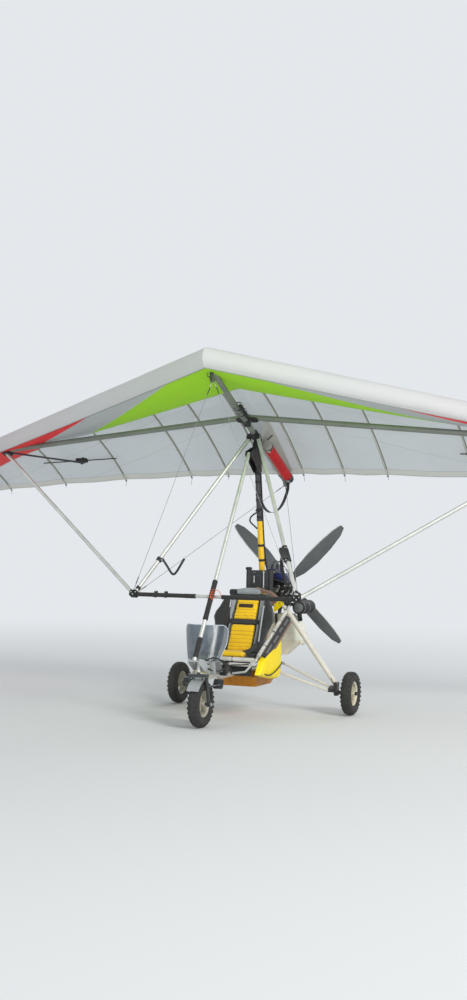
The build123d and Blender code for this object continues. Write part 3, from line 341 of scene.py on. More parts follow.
class Section:
    """The sail's shape at one place across the span, as on the drawing."""

    def __init__(self, x):
        self.nose = between(RIBS, x, 1)
        self.start = ROOT_START + SWEEP * x + between(RIBS, x, 2)
        self.end = ROOT_END + 0.02 * x + 0.035 * x * x - between(RIBS, x, 3)
        self.end_height = 0.058 + 0.008 * x * x
        chord = self.end - self.start
        self.shoulder = (self.start + 0.66 * self.nose, NOSE_HEIGHT + 0.94 * self.nose)
        crest = (self.start + 0.34 * chord, 0.068 + 0.34 * (self.end_height - 0.006) + 0.05 * chord)
        self.hub_s, self.hub_n, self.radius = self.circle(self.shoulder, crest, (self.end, self.end_height))
        step = 0.62 + 0.37 * x + 0.12 * max(0, x - 2.3) ** 2
        self.step = min(max(step, self.start + 2 * self.nose), self.end - 0.2 * chord)

    @staticmethod
    def circle(a, b, c):
        """Centre and radius of the circle through three points."""
        (ax, ay), (bx, by), (cx, cy) = a, b, c
        d = 2 * (ax * (by - cy) + bx * (cy - ay) + cx * (ay - by))
        aa, bb, cc = ax * ax + ay * ay, bx * bx + by * by, cx * cx + cy * cy
        s = (aa * (by - cy) + bb * (cy - ay) + cc * (ay - by)) / d
        n = (aa * (cx - bx) + bb * (ax - cx) + cc * (bx - ax)) / d
        return s, n, math.hypot(ax - s, ay - n)

    def over(self, s):
        """Height of the upper sheet at a station behind the shoulder."""
        return self.hub_n + math.sqrt(self.radius ** 2 - (s - self.hub_s) ** 2)

    def upper(self, share):
        """Station, height and distance from the belly seam, along the upper sheet."""
        nose_run = NOSE_ARC * self.nose
        run = share * (nose_run + self.end - self.shoulder[0])
        if run < nose_run:
            angle = run / self.nose
            s = self.start + self.nose - self.nose * math.sin(angle)
            return s, NOSE_HEIGHT - self.nose * math.cos(angle), run
        s = self.shoulder[0] + run - nose_run
        return s, self.over(s), run

    def lower(self, share):
        """The same along the lower sheet, which ends just under the upper one."""
        s0, n0, n1 = self.start + self.nose, NOSE_HEIGHT - self.nose, self.over(self.step) - STEP_GAP
        run = share * (self.step - s0)
        return s0 + run, n0 + share * (n1 - n0) - LOWER_SAG * math.sin(math.pi * share), run


def columns_across():
    """Places across the half span: every batten, with even steps between."""
    edges, made = [0, *BATTEN_X, *(rib[0] for rib in RIBS[-2:])], [0]
    for a, b in zip(edges, edges[1:]):
        steps = max(2, round((b - a) / 0.07))
        made += [a + (b - a) * i / steps for i in range(1, steps + 1)]
    return made


def bay_sag(x):
    """How far the cloth hangs between two battens, from 0 on them to 1."""
    edges = [0, *BATTEN_X, RIBS[-1][0]]
    for a, b in zip(edges, edges[1:]):
        if a <= x <= b:
            return math.sin(math.pi * (x - a) / (b - a)) ** 2
    return 0


def grid(columns, rows):
    """Flat square of faces, from -0.5 to 0.5 each way, in a new mesh."""
    bm = bmesh.new()
    bmesh.ops.create_grid(bm, x_segments=columns, y_segments=rows, size=0.5)
    return bm


def outward(bm):
    """Turns every face outwards."""
    bmesh.ops.recalc_face_normals(bm, faces=bm.faces)


def cloth_sheet(name, side, shape, rows, sag):
    """Half a sheet, from a grid whose points are laid on the sections, with its distances kept for the dye."""
    columns = columns_across()
    bm = grid(len(columns) - 1, rows)
    across, behind, ahead = (bm.verts.layers.float.new(n) for n in ("across", "behind", "ahead"))
    for v in bm.verts:
        x = columns[round((v.co.x + 0.5) * (len(columns) - 1))]
        share = v.co.y + 0.5
        section = Section(x)
        s, n, run = shape(section, share)
        whole = shape(section, 1)[2]
        v[across], v[behind], v[ahead] = x, run, whole - run
        loose = sag * bay_sag(x) * min(1, max(0, run - 0.35) / 0.6)        # none over the stiff nose
        v.co = on_wing(side * x, s - 0.4 * loose * share ** 6, n - loose)
    outward(bm)
    return finished(name, bm, "wing")


def finished(name, bm, body, *materials):
    """Piece from a mesh in the making, smooth but for its sharp edges, riding on a body."""
    mesh = bpy.data.meshes.new(name)
    bm.to_mesh(mesh)
    bm.free()
    for material in materials:
        mesh.materials.append(material)
    piece = shown(name, mesh)
    mesh.shade_smooth()
    mesh.set_sharp_from_angle(angle=math.radians(40))
    if body:
        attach(piece, body)
    return piece


def sailcloth(name, colour):
    """Woven sailcloth in the making, faint in patches, with a ripstop grid and creases; the seams, batten pockets and
    the light it lets through are added after.
    """
    f = Finish(name, colour, 0.6, Sheen_Weight=0.05, Specular_IOR_Level=0.3)
    grid = f.node("CombineXYZ")
    f.links.new(f.own("across"), grid.inputs[0])
    f.links.new(f.own("behind"), grid.inputs[1])
    f.tint(f.cloud(0.9, vector=grid.outputs[0]), (172, 178, 180), 0.35)
    threads = []
    for direction in ("X", "Y"):
        wave = f.node("TexWave", bands_direction=direction, Scale=32)
        f.links.new(grid.outputs[0], wave.inputs["Vector"])
        threads.append(f.math("POWER", wave.outputs["Fac"], 14))
    f.raise_by(f.math("MAXIMUM", *threads), 0.00012)
    creases = f.node("Mapping", Scale=(1.2, 5.5, 1), Rotation=(0, 0, 0.5))
    f.links.new(grid.outputs[0], creases.inputs["Vector"])
    f.raise_by(f.cloud(1.1, detail=3, vector=creases.outputs[0], low=0.45, high=0.75), 0.006)
    return f


def near(f, value, at, reach):
    """1 where a value lies within reach of a place."""
    return f.math("COMPARE", value, at, reach)


def lit_through(f, share):
    """Finishes a cloth so that a share of the light behind it comes through."""
    material = f.done()
    glow = f.node("BsdfTranslucent")
    f.links.new(f.bsdf.inputs["Base Color"].links[0].from_socket, glow.inputs["Color"])
    mix = f.node("MixShader")
    mix.inputs[0].default_value = share
    f.links.new(f.bsdf.outputs[0], mix.inputs[1])
    f.links.new(glow.outputs[0], mix.inputs[2])
    f.links.new(mix.outputs[0], f.nodes["Material Output"].inputs["Surface"])
    return material


SEAM, LIME, RED = (128, 132, 130), (176, 240, 0), (246, 30, 34)
NOSE_BAND = 0.34             # width of the stiff white band, from the belly seam round the nose


def upper_cloth():
    """White, with the battens' pockets, seams, a taped trailing edge and the stiff band round the nose."""
    f = sailcloth("sailcloth_upper", (206, 212, 214))
    x, behind, ahead = f.own("across"), f.own("behind"), f.own("ahead")
    for at in BATTEN_X:
        f.tint(near(f, x, at, 0.016), (112, 118, 104), 0.8)
        for edge in (-0.019, 0.019):
            f.tint(near(f, x, at + edge, 0.0035), (226, 228, 224), 0.8)
    for at in (0.62, 1.02, 1.46):
        f.tint(near(f, behind, at, 0.0022), SEAM, 0.45)
    f.tint(f.math("LESS_THAN", ahead, 0.085), (202, 201, 192), 0.75)
    for at in (0.012, 0.085):
        f.tint(near(f, ahead, at, 0.0018), SEAM, 0.8)
    f.tint(f.math("LESS_THAN", behind, NOSE_BAND), (226, 226, 226))
    for at in (0.006, NOSE_BAND, NOSE_BAND - 0.018):
        f.tint(near(f, behind, at, 0.002), SEAM, 0.8)
    return lit_through(f, 0.32)


def lower_cloth():
    """White, with a lime chevron that starts at the nose and a red wedge towards the tips."""
    f = sailcloth("sailcloth_lower", (200, 206, 206))
    x, behind, ahead = f.own("across"), f.own("behind"), f.own("ahead")
    station = f.math("ADD", behind, f.math("MULTIPLY_ADD", x, SWEEP, ROOT_START + RIBS[0][1]))
    front = f.math("GREATER_THAN", behind, f.math("MULTIPLY_ADD", x, 0.345, -0.155))
    outer = f.math("LESS_THAN", x, f.math("MULTIPLY_ADD", station, 0.906, 0.683))
    f.tint(f.math("MULTIPLY", front, outer), LIME)
    wedge = f.math("LESS_THAN", behind, f.math("MULTIPLY_ADD", x, 0.24, -0.36))
    spread = f.math("GREATER_THAN", x, f.math("MULTIPLY_ADD", behind, 1.05, 2.2))
    f.tint(f.math("MAXIMUM", f.math("MULTIPLY", wedge, f.math("LESS_THAN", x, 2.4)), spread), RED)
    f.tint(f.math("LESS_THAN", ahead, 0.03), (190, 196, 190), 0.25)
    for at in (0.004, 0.03):
        f.tint(near(f, ahead, at, 0.0016), SEAM, 0.6)
    # Painted shadow: a dark line along the belly seam, where the edge of the upper sheet overhangs the lower one.
    f.tint(near(f, behind, 0.006, 0.004), (70, 74, 76), 0.9)
    return lit_through(f, 0.22)


UPPER_CLOTH, LOWER_CLOTH = upper_cloth(), lower_cloth()
for side, word in ((1, "left"), (-1, "right")):
    upper = cloth_sheet(f"sail_upper_{word}", side, Section.upper, 56, 0.014)
    upper.data.materials.append(UPPER_CLOTH)
    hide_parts(f"sail_{word}")
    lower = cloth_sheet(f"sail_lower_{word}", side, Section.lower, 14, 0)
    lower.data.materials.append(LOWER_CLOTH)


# Small parts
# Rods, blocks, turned parts, webbing and bent lines that the fittings below are made of, and their finishes:
# zinc-plated steel, black nylon, moulded rubber and woven webbing.
def spot(at):
    """A point of the frame as it is, or three numbers of the drawing as such a point."""
    return at if isinstance(at, Vector) else place(*at)


def rounded(bm, edges, offset, segments):
    """Rounds edges, and gives the points that this makes."""
    return bmesh.ops.bevel(bm, geom=edges, offset=offset, segments=segments, profile=0.5, affect="EDGES",
                           material=-1)["verts"]


class Shape:
    """Mesh in the making, from rods, blocks, turned parts and bands."""

    def __init__(self):
        self.bm = bmesh.new()

    def put(self, verts, at, turn=None):
        """Turns points about the origin and sets them in their place."""
        matrix = Matrix.Translation(spot(at)) @ (turn.to_4x4() if turn else Matrix())
        bmesh.ops.transform(self.bm, matrix=matrix, verts=verts)
        return self

    def block(self, at, size, soft=0.003, turn=None):
        """Block with rounded edges, about a point."""
        made = bmesh.ops.create_cube(self.bm, size=1)["verts"]
        bmesh.ops.scale(self.bm, vec=size, verts=made)
        return self.put(rounded(self.bm, list({e for v in made for e in v.link_edges}), soft, 2), at, turn)

    def rod(self, a, b, radius, end=None, sides=24, soft=0.001):
        """Rod from one point to another, with its own radius at the far end if that is given."""
        a, b = spot(a), spot(b)
        made = bmesh.ops.create_cone(self.bm, cap_ends=True, segments=sides, radius1=radius,
                                     radius2=radius if end is None else end, depth=(b - a).length)["verts"]
        rims = [e for e in {e for v in made for e in v.link_edges}
                if abs(e.verts[0].co.z - e.verts[1].co.z) < 1e-6]
        return self.put(rounded(self.bm, rims, soft, 1), (a + b) / 2, (b - a).to_track_quat("Z", "Y").to_matrix())

    def turned(self, at, axis, profile, sides=48):
        """Turned part: pairs of the distance along its axis and the radius there."""
        old = set(self.bm.verts)
        edge = [self.bm.verts.new((r, 0, z)) for z, r in profile]
        lines = [self.bm.edges.new(pair) for pair in zip(edge, edge[1:])]
        bmesh.ops.spin(self.bm, geom=edge + lines, axis=(0, 0, 1), cent=(0, 0, 0), angle=math.tau, steps=sides,
                       use_merge=True)
        new = [v for v in self.bm.verts if v not in old]
        bmesh.ops.remove_doubles(self.bm, verts=new, dist=1e-6)
        new = [v for v in self.bm.verts if v not in old]
        bmesh.ops.recalc_face_normals(self.bm, faces=list({f for v in new for f in v.link_faces}))
        return self.put(new, at, Vector(axis).to_track_quat("Z", "Y").to_matrix())

    def collar(self, at, axis, inner, outer, width, soft=0.002):
        """Ring with rounded edges, half its width on each side of a point."""
        h = width / 2
        return self.turned(at, axis, [(-h, inner), (-h, outer - soft), (soft - h, outer), (h - soft, outer),
                                      (h, outer - soft), (h, inner), (-h, inner)])

    def bolt(self, at, axis, size=0.008, stem=0.004):
        """Hexagon head on its washer, standing out along the axis."""
        at, axis = spot(at), Vector(axis).normalized()
        self.rod(at, at + 0.0016 * axis, size * 1.05, soft=0.0003)
        self.rod(at + 0.0016 * axis, at + (0.0016 + stem) * axis, size * 0.8, sides=6, soft=0.0006)
        return self

    def ribbon(self, points, width, thick, across, steps=8):
        """Flat webbing along a smooth line, kept square to its run."""
        line = smooth_line(points, steps)
        last = len(line) - 1
        grid = bmesh.ops.create_grid(self.bm, x_segments=last, y_segments=4, size=0.5)["verts"]
        for v in grid:
            i, share = round((v.co.x + 0.5) * last), v.co.y
            run = (line[min(i + 1, last)] - line[max(i - 1, 0)]).normalized()
            side = (Vector(across) - run * run.dot(Vector(across))).normalized()
            v.co = line[i] + side * share * width
        bmesh.ops.solidify(self.bm, geom=list({f for v in grid for f in v.link_faces}), thickness=thick)
        return self

    def piece(self, name, material, slot, body="trike"):
        """The finished piece, on its body."""
        outward(self.bm)
        made = finished(name, self.bm, body, material)
        return made


def smooth_line(points, steps):
    """Points on a smooth line through the given ones."""
    points = [spot(p) for p in points]
    ends = [2 * points[0] - points[1], *points, 2 * points[-1] - points[-2]]
    made = []
    for a, b, c, d in zip(ends, ends[1:], ends[2:], ends[3:]):
        for i in range(steps):
            t = i / steps
            made.append(0.5 * (2 * b + (c - a) * t + (2 * a - 5 * b + 4 * c - d) * t * t
                               + (3 * b - a - 3 * c + d) * t ** 3))
    return made + [points[-1]]


def lines(name, material, slot, *runs, body="trike", order=4):
    """Hoses, cables or bent rods of one kind: each run is a radius and its points."""
    curve = bpy.data.curves.new(name, "CURVE")
    curve.dimensions = "3D"
    curve.bevel_depth = 1
    curve.bevel_resolution = 4
    curve.resolution_u = 8
    curve.use_fill_caps = True
    for radius, points in runs:
        spline = curve.splines.new("NURBS")
        spline.points.add(len(points) - 1)
        for point, at in zip(spline.points, points):
            point.co = (*spot(at), 1)
            point.radius = radius
        spline.order_u = min(order, len(points))
        spline.use_endpoint_u = True
    curve.materials.append(material)
    piece = shown(name, curve)
    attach(piece, body)
    return piece


def woven(name, colour, shade, pitch, depth):
    """Cloth with its threads crossing at a pitch, darker where a seam is pulled in."""
    f = Finish(name, colour, 0.75, Sheen_Weight=0.35, Sheen_Roughness=0.5)
    f.tint(f.cloud(9), shade, 0.5)
    threads = []
    for turn in ((0, 45, 0), (0, -45, 90)):
        wave = f.node("TexWave", bands_direction="X", Scale=0.3 / pitch)
        f.links.new(f.here(turn=turn), wave.inputs["Vector"])
        threads.append(wave.outputs["Fac"])
    weave = f.math("MAXIMUM", *threads)
    f.tint(weave, shade, 0.25).raise_by(weave, depth)
    f.tint(f.own("seam"), (44, 42, 36), 0.75)
    f.raise_by(f.cloud(38, detail=3), 0.0009)
    return f.done()


STEEL = used("zinc_steel", (196, 198, 198), (158, 160, 158), 0.34, 0.85)
NYLON = used("black_nylon", (34, 35, 36), (50, 51, 52), 0.5, grain=900)
RUBBER = used("rubber", (30, 31, 32), (46, 46, 44), 0.62, grain=260, depth=0.0001)
WEBBING = woven("webbing", (36, 37, 38), (58, 58, 58), 0.0022, 0.00025)
WIRE = used("wire_rope", (150, 154, 156), (112, 114, 116), 0.38, 0.8, grain=1500, depth=0.0001)
IN_STEEL, IN_NYLON = (STEEL, "wire_steel"), (NYLON, "black_fitting")         # finishes with their slots
IN_RUBBER, IN_WEBBING = (RUBBER, "black_fitting"), (WEBBING, "black_fitting")


# Wing fittings
# The front and rear wires run from the control frame's corners to tangs on the wing keel; each end is doubled
# through a thimble in a pressed copper sleeve under a black shrink tube. Bolts hold the clamps on the keel.
dress(WIRE, "stay_wires")
dress(NYLON, "apex_clamp", "cross_plate", "junction_fittings", "mast_head", "hang_block")
BAR_S, BAR_N = 0.958, -1.734         # the control bar's axis, along the wing keel and square to it
sleeves, swages, fittings = Shape(), Shape(), Shape()
for side in (-1, 1):
    sleeves.block(on_wing(side * 2.035, 1.514, -0.05), (0.13, 0.05, 0.035), 0.009, WING.to_3x3())
    sleeves.rod(on_wing(side * 2.0, 1.47, -0.05), on_wing(side * 2.07, 1.58, -0.05), 0.014, soft=0.003)
    for shift, tang_s, tang_n in ((-0.034, 0.096, -0.066), (0.034, 2.092, -0.044)):
        low, high = on_wing(side * 0.767, BAR_S + shift, BAR_N + 0.026), on_wing(side * 0.0065, tang_s, tang_n)
        run = (high - low).normalized()
        for end, way in ((low, run), (high, -run)):
            swages.rod(end + 0.03 * way, end + 0.062 * way, 0.0046)
            sleeves.rod(end + 0.058 * way, end + 0.13 * way, 0.0042, 0.0034)
            swages.collar(end + 0.012 * way, way.cross(Vector((1, 0.2, 0))), 0.006, 0.0092, 0.006, soft=0.001)
for reach, station, height in ((0.0655, 1.142, -0.034), (0.0315, 0.93, 0.02), (2.9045, 1.368, -0.02)):
    for way in (-1, 1):
        for off in (-0.016, 0.016):
            fittings.bolt(on_wing(way * reach, station + off, height), wing_way(way, 0, 0))
for across in (-0.07, -0.035, 0.035, 0.07):
    for station in (0.905, 0.948):
        fittings.bolt(on_wing(across, station, 0.0335), wing_way(0, 0, 1), 0.007)
sleeves.rod(on_wing(0.055, 0.6, -0.01), on_wing(0.055, 0.86, -0.012), 0.016, 0.013, soft=0.005)
for s in (0.63, 0.73, 0.83):
    sleeves.collar(on_wing(0.0275, s, -0.006), wing_way(0, 1, 0), 0.0435, 0.0452, 0.014, soft=0.0006)
sleeves.piece("wire_sleeves", *IN_RUBBER, "wing")
swages.piece("wire_swages", *IN_STEEL, "wing")
fittings.piece("wing_bolts", *IN_STEEL, "wing")

# Cords loop round the nose plate, where the wires and the nose batten are tied off.
nose_loops = []
for lean, drop, width in ((0.012, 0.085, 0.02), (-0.012, 0.065, 0.024), (0.016, 0.11, 0.014)):
    nose_loops.append((0.0026, [on_wing(lean, -0.004, 0.02), on_wing(lean + width, 0.0, -0.02),
                                on_wing(lean + width, 0.012, -drop), on_wing(lean, 0.02, -drop - 0.02),
                                on_wing(lean - width, 0.02, -drop + 0.01), on_wing(lean - width, 0.03, -0.02),
                                on_wing(lean, 0.034, 0.018)]))
lines("nose_loops", *IN_RUBBER, *nose_loops, body="wing")

# Each batten ends in a moulded tip that the trailing edge is stretched over, with the free end of its string.
tips, strings = Shape(), []
for side in (-1, 1):
    for x in BATTEN_X:
        section = Section(x)
        tail, height = section.end, section.over(section.end) - 0.014
        fall = (section.over(tail) - section.over(tail - 0.05)) / 0.05
        start, stop = on_wing(side * x, tail - 0.012, height - 0.012 * fall), on_wing(side * x, tail + 0.017, height)
        tips.rod(start, stop, 0.0085, 0.0072, soft=0.002)
        fringe = 0.05 + 0.02 * math.sin(9 * x + side)
        strings.append((0.0016, [stop + Vector((0, -0.004, 0)), stop + Vector((side * 0.004, -0.002, -0.02)),
                                 stop + Vector((side * 0.007, -0.004, -fringe))]))
tips.piece("batten_tips", *IN_NYLON, "wing")
lines("batten_strings", *IN_RUBBER, *strings, body="wing", order=3)


# Keel pocket
# A sleeve of the sail's own cloth, sewn under its middle seam, that the wing keel slides in behind the hang point.
POCKET_FRONT, POCKET_BACK, POCKET_R, POCKET_WALL = 1.275, 1.975, 0.0268, 0.19


def keel_pocket():
    """U-shaped sheet round the keel from a grid: up to the sail on the left, under the tube, up on the right."""
    bm = grid(44, 40)
    across, behind = (bm.verts.layers.float.new(n) for n in ("across", "behind"))
    for v in bm.verts:
        share, turn = v.co.y + 0.5, 2 * v.co.x
        s = POCKET_FRONT + share * (POCKET_BACK - POCKET_FRONT)
        side, up = math.copysign(1, turn), max(0, (abs(turn) - 0.3) / 0.7)
        s -= 0.16 * up * (1 - share) ** 2
        top = Section(0.1).over(s) - 0.012
        if up == 0:
            angle = turn / 0.3 * math.pi / 2
            x, n = POCKET_R * math.sin(angle), -POCKET_R * math.cos(angle)
        else:
            fold = 0.004 * math.sin(26 * s + 3 * up) * math.sin(math.pi * up)
            x, n = side * (POCKET_R + 0.07 * up ** 2 + fold), top * up
        v[across], v[behind] = turn * POCKET_WALL, s
        v.co = on_wing(x, s, n)
    piece = finished("keel_pocket", bm, "wing", POCKET_CLOTH)


pocket_finish = sailcloth("pocket_cloth", (196, 194, 184))
for at in (POCKET_FRONT + 0.02, POCKET_BACK - 0.02):
    pocket_finish.tint(near(pocket_finish, pocket_finish.own("behind"), at, 0.0018), SEAM, 0.8)
POCKET_CLOTH = lit_through(pocket_finish, 0.2)
keel_pocket()


# Parachute canister
# A red cloth cover laced over a rigid tube, with a pale front cap, strapped beside the wing keel by two bands.
# Its black bridle hangs in a slack bend to the mast.
CANISTER = (0.0775, 1.272, -0.03)
CANISTER_LEN, CANISTER_R, CANISTER_ROUND = 0.73, 0.048, 0.016


def canister_cover():
    """Closed cloth tube with rounded ends, gathered at its laces, with the run along it kept for the dye."""
    bm = grid(64, 72)
    run_layer = bm.verts.layers.float.new("run")
    for v in bm.verts:
        angle, share = math.tau * (v.co.x + 0.5), v.co.y + 0.5
        near_end = min(share, 1 - share) * CANISTER_LEN
        rounded = max(0, 1 - near_end / CANISTER_ROUND)
        radius = CANISTER_R * math.sqrt(1 - rounded ** 2)
        pucker = max(0, 1 - abs(near_end - 0.035) / 0.03)
        radius -= 0.0014 * pucker * (0.5 + 0.5 * math.sin(17 * angle))
        radius -= 0.0012 * (0.5 + 0.5 * math.sin(3 * angle + 21 * share)) * (rounded == 0)
        v[run_layer] = share * CANISTER_LEN
        v.co = on_wing(CANISTER[0] + radius * math.cos(angle), CANISTER[1] + share * CANISTER_LEN,
                       CANISTER[2] + radius * math.sin(angle))
    bmesh.ops.remove_doubles(bm, verts=bm.verts, dist=1e-5)
    outward(bm)
    piece = finished("canister_cover", bm, "wing", canister_cloth())
    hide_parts("chute_canister")


def canister_cloth():
    f = Finish("canister_cloth", (216, 22, 26), 0.66, Sheen_Weight=0.08, Specular_IOR_Level=0.3)
    run = f.own("run")
    f.tint(f.cloud(11), (168, 18, 28), 0.6)
    f.tint(f.math("LESS_THAN", run, 0.05), (164, 160, 154))
    f.tint(near(f, run, 0.056, 0.006), (34, 34, 34))
    f.tint(f.math("GREATER_THAN", run, CANISTER_LEN - 0.055), (44, 44, 46))
    for at in (0.075, 0.27, 0.46, CANISTER_LEN - 0.06):
        f.tint(near(f, run, at, 0.0015), (96, 20, 20), 0.8)
        f.raise_by(near(f, run, at, 0.002), -0.0006)
    f.raise_by(f.cloud(1400), 0.0001).raise_by(f.cloud(30, detail=3), 0.0012)
    return f.done()


canister_cover()
straps, buckles = Shape(), Shape()
for s in (CANISTER[1] + 0.06, CANISTER[1] + CANISTER_LEN - 0.07):
    x, n, r = CANISTER[0], CANISTER[2], CANISTER_R + 0.0015
    ring = [on_wing(x + r * math.cos(a), s, n + r * math.sin(a)) for a in
            (math.radians(d) for d in (100, 60, 20, -20, -60, -100, -140))]
    ring += [on_wing(0.0285 * math.cos(a), s, 0.0285 * math.sin(a)) for a in
             (math.radians(d) for d in (-120, -160, -200, -240, -280))]
    straps.ribbon([*ring, ring[0]], 0.026, 0.002, wing_way(0, 1, 0), steps=5)
    buckles.block(on_wing(x + 0.016, s, n - r - 0.003), (0.034, 0.034, 0.007), 0.002,
                  WING.to_3x3() @ Matrix.Rotation(math.radians(16), 3, "Y"))
    for way in (-1, 1):
        tail = on_wing(way * 0.03, s, 0.01)
        straps.ribbon([tail, on_wing(way * 0.055, s, 0.045), on_wing(way * 0.1, s, 0.1)], 0.022, 0.002,
                      wing_way(0, 1, 0))
straps.piece("canister_straps", *IN_WEBBING, "wing")
buckles.piece("canister_buckles", *IN_STEEL, "wing")


# Control frame
# Two uprights and a base bar in alloy tube, with cast corners in black, foam grips, and a clamp on each upright:
# a bent rod on the right one, and a padded radio holder with its cable on the left one.
def split_tube():
    """Bare tube in the middle and black cast corners, in one piece."""
    f = Finish("bar_metal", (214, 214, 208), 0.36, metal=0.5)
    axes = f.node("SeparateXYZ")
    f.links.new(f.here(), axes.inputs[0])
    f.tint(f.cloud(9), (170, 172, 166), 0.55)
    corner = f.math("GREATER_THAN", f.math("ABSOLUTE", axes.outputs[0]), 0.731)
    f.tint(corner, (32, 33, 34)).dull(corner, 0.12)
    f.tint(f.math("MULTIPLY", corner, f.cloud(60, low=0.58, high=0.7)), (110, 110, 106), 0.5)
    return f.raise_by(f.cloud(700), 0.00005).done()


def foam(name, colour, shade):
    """Slip-on foam, matt and finely pitted, with pressed and rubbed places."""
    f = Finish(name, colour, 0.82, Sheen_Weight=0.1)
    f.tint(f.cloud(14), shade, 0.7)
    f.raise_by(f.cloud(1300), 0.0002).raise_by(f.cloud(45, detail=3), 0.0012)
    return f.done()


FOAM = foam("black_foam", (30, 30, 31), (50, 49, 47))
dress(split_tube(), "control_bar")
dress(FOAM, "bar_grips")


def upright_at(side, z):
    """Point on an upright's axis at a height, with the unit vector that runs up it."""
    low, high = on_wing(side * 0.775, BAR_S, BAR_N), on_wing(side * 0.05, 1.142, -0.052)
    return low + (high - low) * (z - low.z) / (high.z - low.z), (high - low).normalized()


grips, clamps, studs = Shape(), Shape(), Shape()
grips.rod(on_wing(-0.262, BAR_S, BAR_N), on_wing(-0.165, BAR_S, BAR_N), 0.0198, soft=0.003)
for x in (-0.737, -0.262, 0.088, 0.737):
    grips.collar(on_wing(x, BAR_S, BAR_N), (1, 0, 0), 0.0145, 0.0204, 0.012, soft=0.003)
for x in (-0.56, -0.46):
    clamps.collar(on_wing(x, BAR_S, BAR_N), (1, 0, 0), 0.0185, 0.0235, 0.026)
    clamps.block(on_wing(x, BAR_S, BAR_N + 0.028), (0.03, 0.02, 0.018))
    studs.bolt(on_wing(x, BAR_S - 0.01, BAR_N + 0.032), (0, -1, 0.2), 0.006)
for side in (-1, 1):
    for across, height in ((0.752, 0.012), (0.796, 0.012), (0.775, -0.01)):
        for way in (-1, 1):
            studs.bolt(on_wing(side * across, BAR_S + way * 0.0235, BAR_N + height), wing_way(0, way, 0), 0.0065)
    foot, rise = upright_at(side, 1.155)
    clamps.collar(foot, rise, 0.0178, 0.0215, 0.03)
right, rise = upright_at(-1, 1.412)
clamps.collar(right, rise, 0.0178, 0.027, 0.034)
clamps.block(right + Vector((0.03, 0, -0.004)), (0.03, 0.026, 0.028), 0.004)
studs.bolt(right + Vector((0.03, -0.0135, -0.004)), (0, -1, 0))
left, rise = upright_at(1, 1.475)
clamps.rod(left - 0.075 * rise, left + 0.065 * rise, 0.033, 0.029, soft=0.007)
clamps.block(left + Vector((-0.014, -0.032, 0.012)), (0.066, 0.036, 0.118), 0.01,
             rise.to_track_quat("Z", "Y").to_matrix())
clamps.collar(left + 0.085 * rise, rise, 0.0178, 0.024, 0.018)
for up in (-0.05, 0.05):
    studs.bolt(left + up * rise + Vector((0, -0.044, 0)), (0, -1, 0), 0.006)
grips.piece("grip_ends", FOAM, "grip_foam", "wing")
clamps.piece("upright_clamps", *IN_NYLON, "wing")
studs.piece("frame_studs", *IN_STEEL, "wing")


def run_from(start, *steps):
    """Points at the given distances from one point."""
    return [start + Vector(step) for step in steps]


lines("upright_rod", *IN_NYLON, (0.0105, run_from(
    right, (0.04, -0.002, -0.006), (0.085, -0.002, -0.062), (0.118, -0.002, -0.118), (0.142, -0.002, -0.134),
    (0.168, -0.002, -0.122), (0.21, -0.002, -0.052), (0.249, -0.002, 0.012))), body="wing")
lines("holder_cable", *IN_RUBBER,
      (0.0155, run_from(left, (-0.026, -0.01, 0.02), (-0.046, -0.008, -0.055), (-0.042, 0, -0.12),
                        (-0.02, 0.004, -0.19), (0, 0.01, -0.26))),
      (0.0022, run_from(left, (0.02, -0.02, 0.05), (0.045, -0.01, -0.02), (0.05, 0, -0.14), (0.085, 0.01, -0.25))),
      body="wing")


# Front strut and mast
# Foam is taped round the strut where it meets the pilot's shins and the bar, with a tie left on it. Cables run
# down the back of the mast under bands of tape, and the two joined lengths of mast are pinned with bolts.
STRUT_FOOT, STRUT_TOP = place(0, -1.14, 0.573), place(0, -0.008, 2.413)
STRUT_RUN = (STRUT_TOP - STRUT_FOOT).normalized()
MAST_FOOT_Y, MAST_FOOT_Z, MAST_LEAN = 0.524, 0.426, 0.16555


def on_strut(z):
    """Point on the front strut's axis at a height."""
    return STRUT_FOOT + (STRUT_TOP - STRUT_FOOT) * (z - STRUT_FOOT.z) / (STRUT_TOP.z - STRUT_FOOT.z)


def on_mast(z, across=0.0, ahead=0.0):
    """Point at a height on the mast's axis, or beside it or ahead of it."""
    return place(across, MAST_FOOT_Y - MAST_LEAN * (z - MAST_FOOT_Z) - ahead, z)


MAST_RUN = (on_mast(2) - on_mast(1)).normalized()
sleeve, tape, pins = Shape(), Shape(), Shape()
for low, high in ((0.905, 1.24), (0.6, 0.76)):
    sleeve.rod(on_strut(low), on_strut(high), 0.0225, soft=0.004)
    for z in (low + 0.02, (low + high) / 2, high - 0.02):
        tape.collar(on_strut(z), STRUT_RUN, 0.0222, 0.0233, 0.022, soft=0.0005)
for z in (1.83, 1.9, 2.04, 2.16, 2.24, 1.42, 1.56):
    tape.collar(on_mast(z), MAST_RUN, 0.0282, 0.0296, 0.024, soft=0.0005)
tape.rod(on_mast(1.888, 0, 0.02), on_mast(1.888, 0, 0.075), 0.016, 0.013, soft=0.004)
for way in (1, -1):
    for z in (1.8, 0.47, 1.72):
        pins.bolt(on_mast(z, way * 0.0285), (way, 0, 0))
    for x, y, z, size, stem in ((0.0315, -1.14, 0.573, 0.0095, 0.004), (0.0315, -0.978, 0.499, 0.0095, 0.004),
                                (0.0455, 0.2, 2.3, 0.009, 0.003), (0.052, 0.138, 2.456, 0.009, 0.003)):
        pins.bolt((way * x, y, z), (way, 0, 0), size, stem)
sleeve.piece("strut_foam", FOAM, "grip_foam")
tape.piece("tape_bands", *IN_RUBBER)
pins.piece("mast_pins", *IN_STEEL)
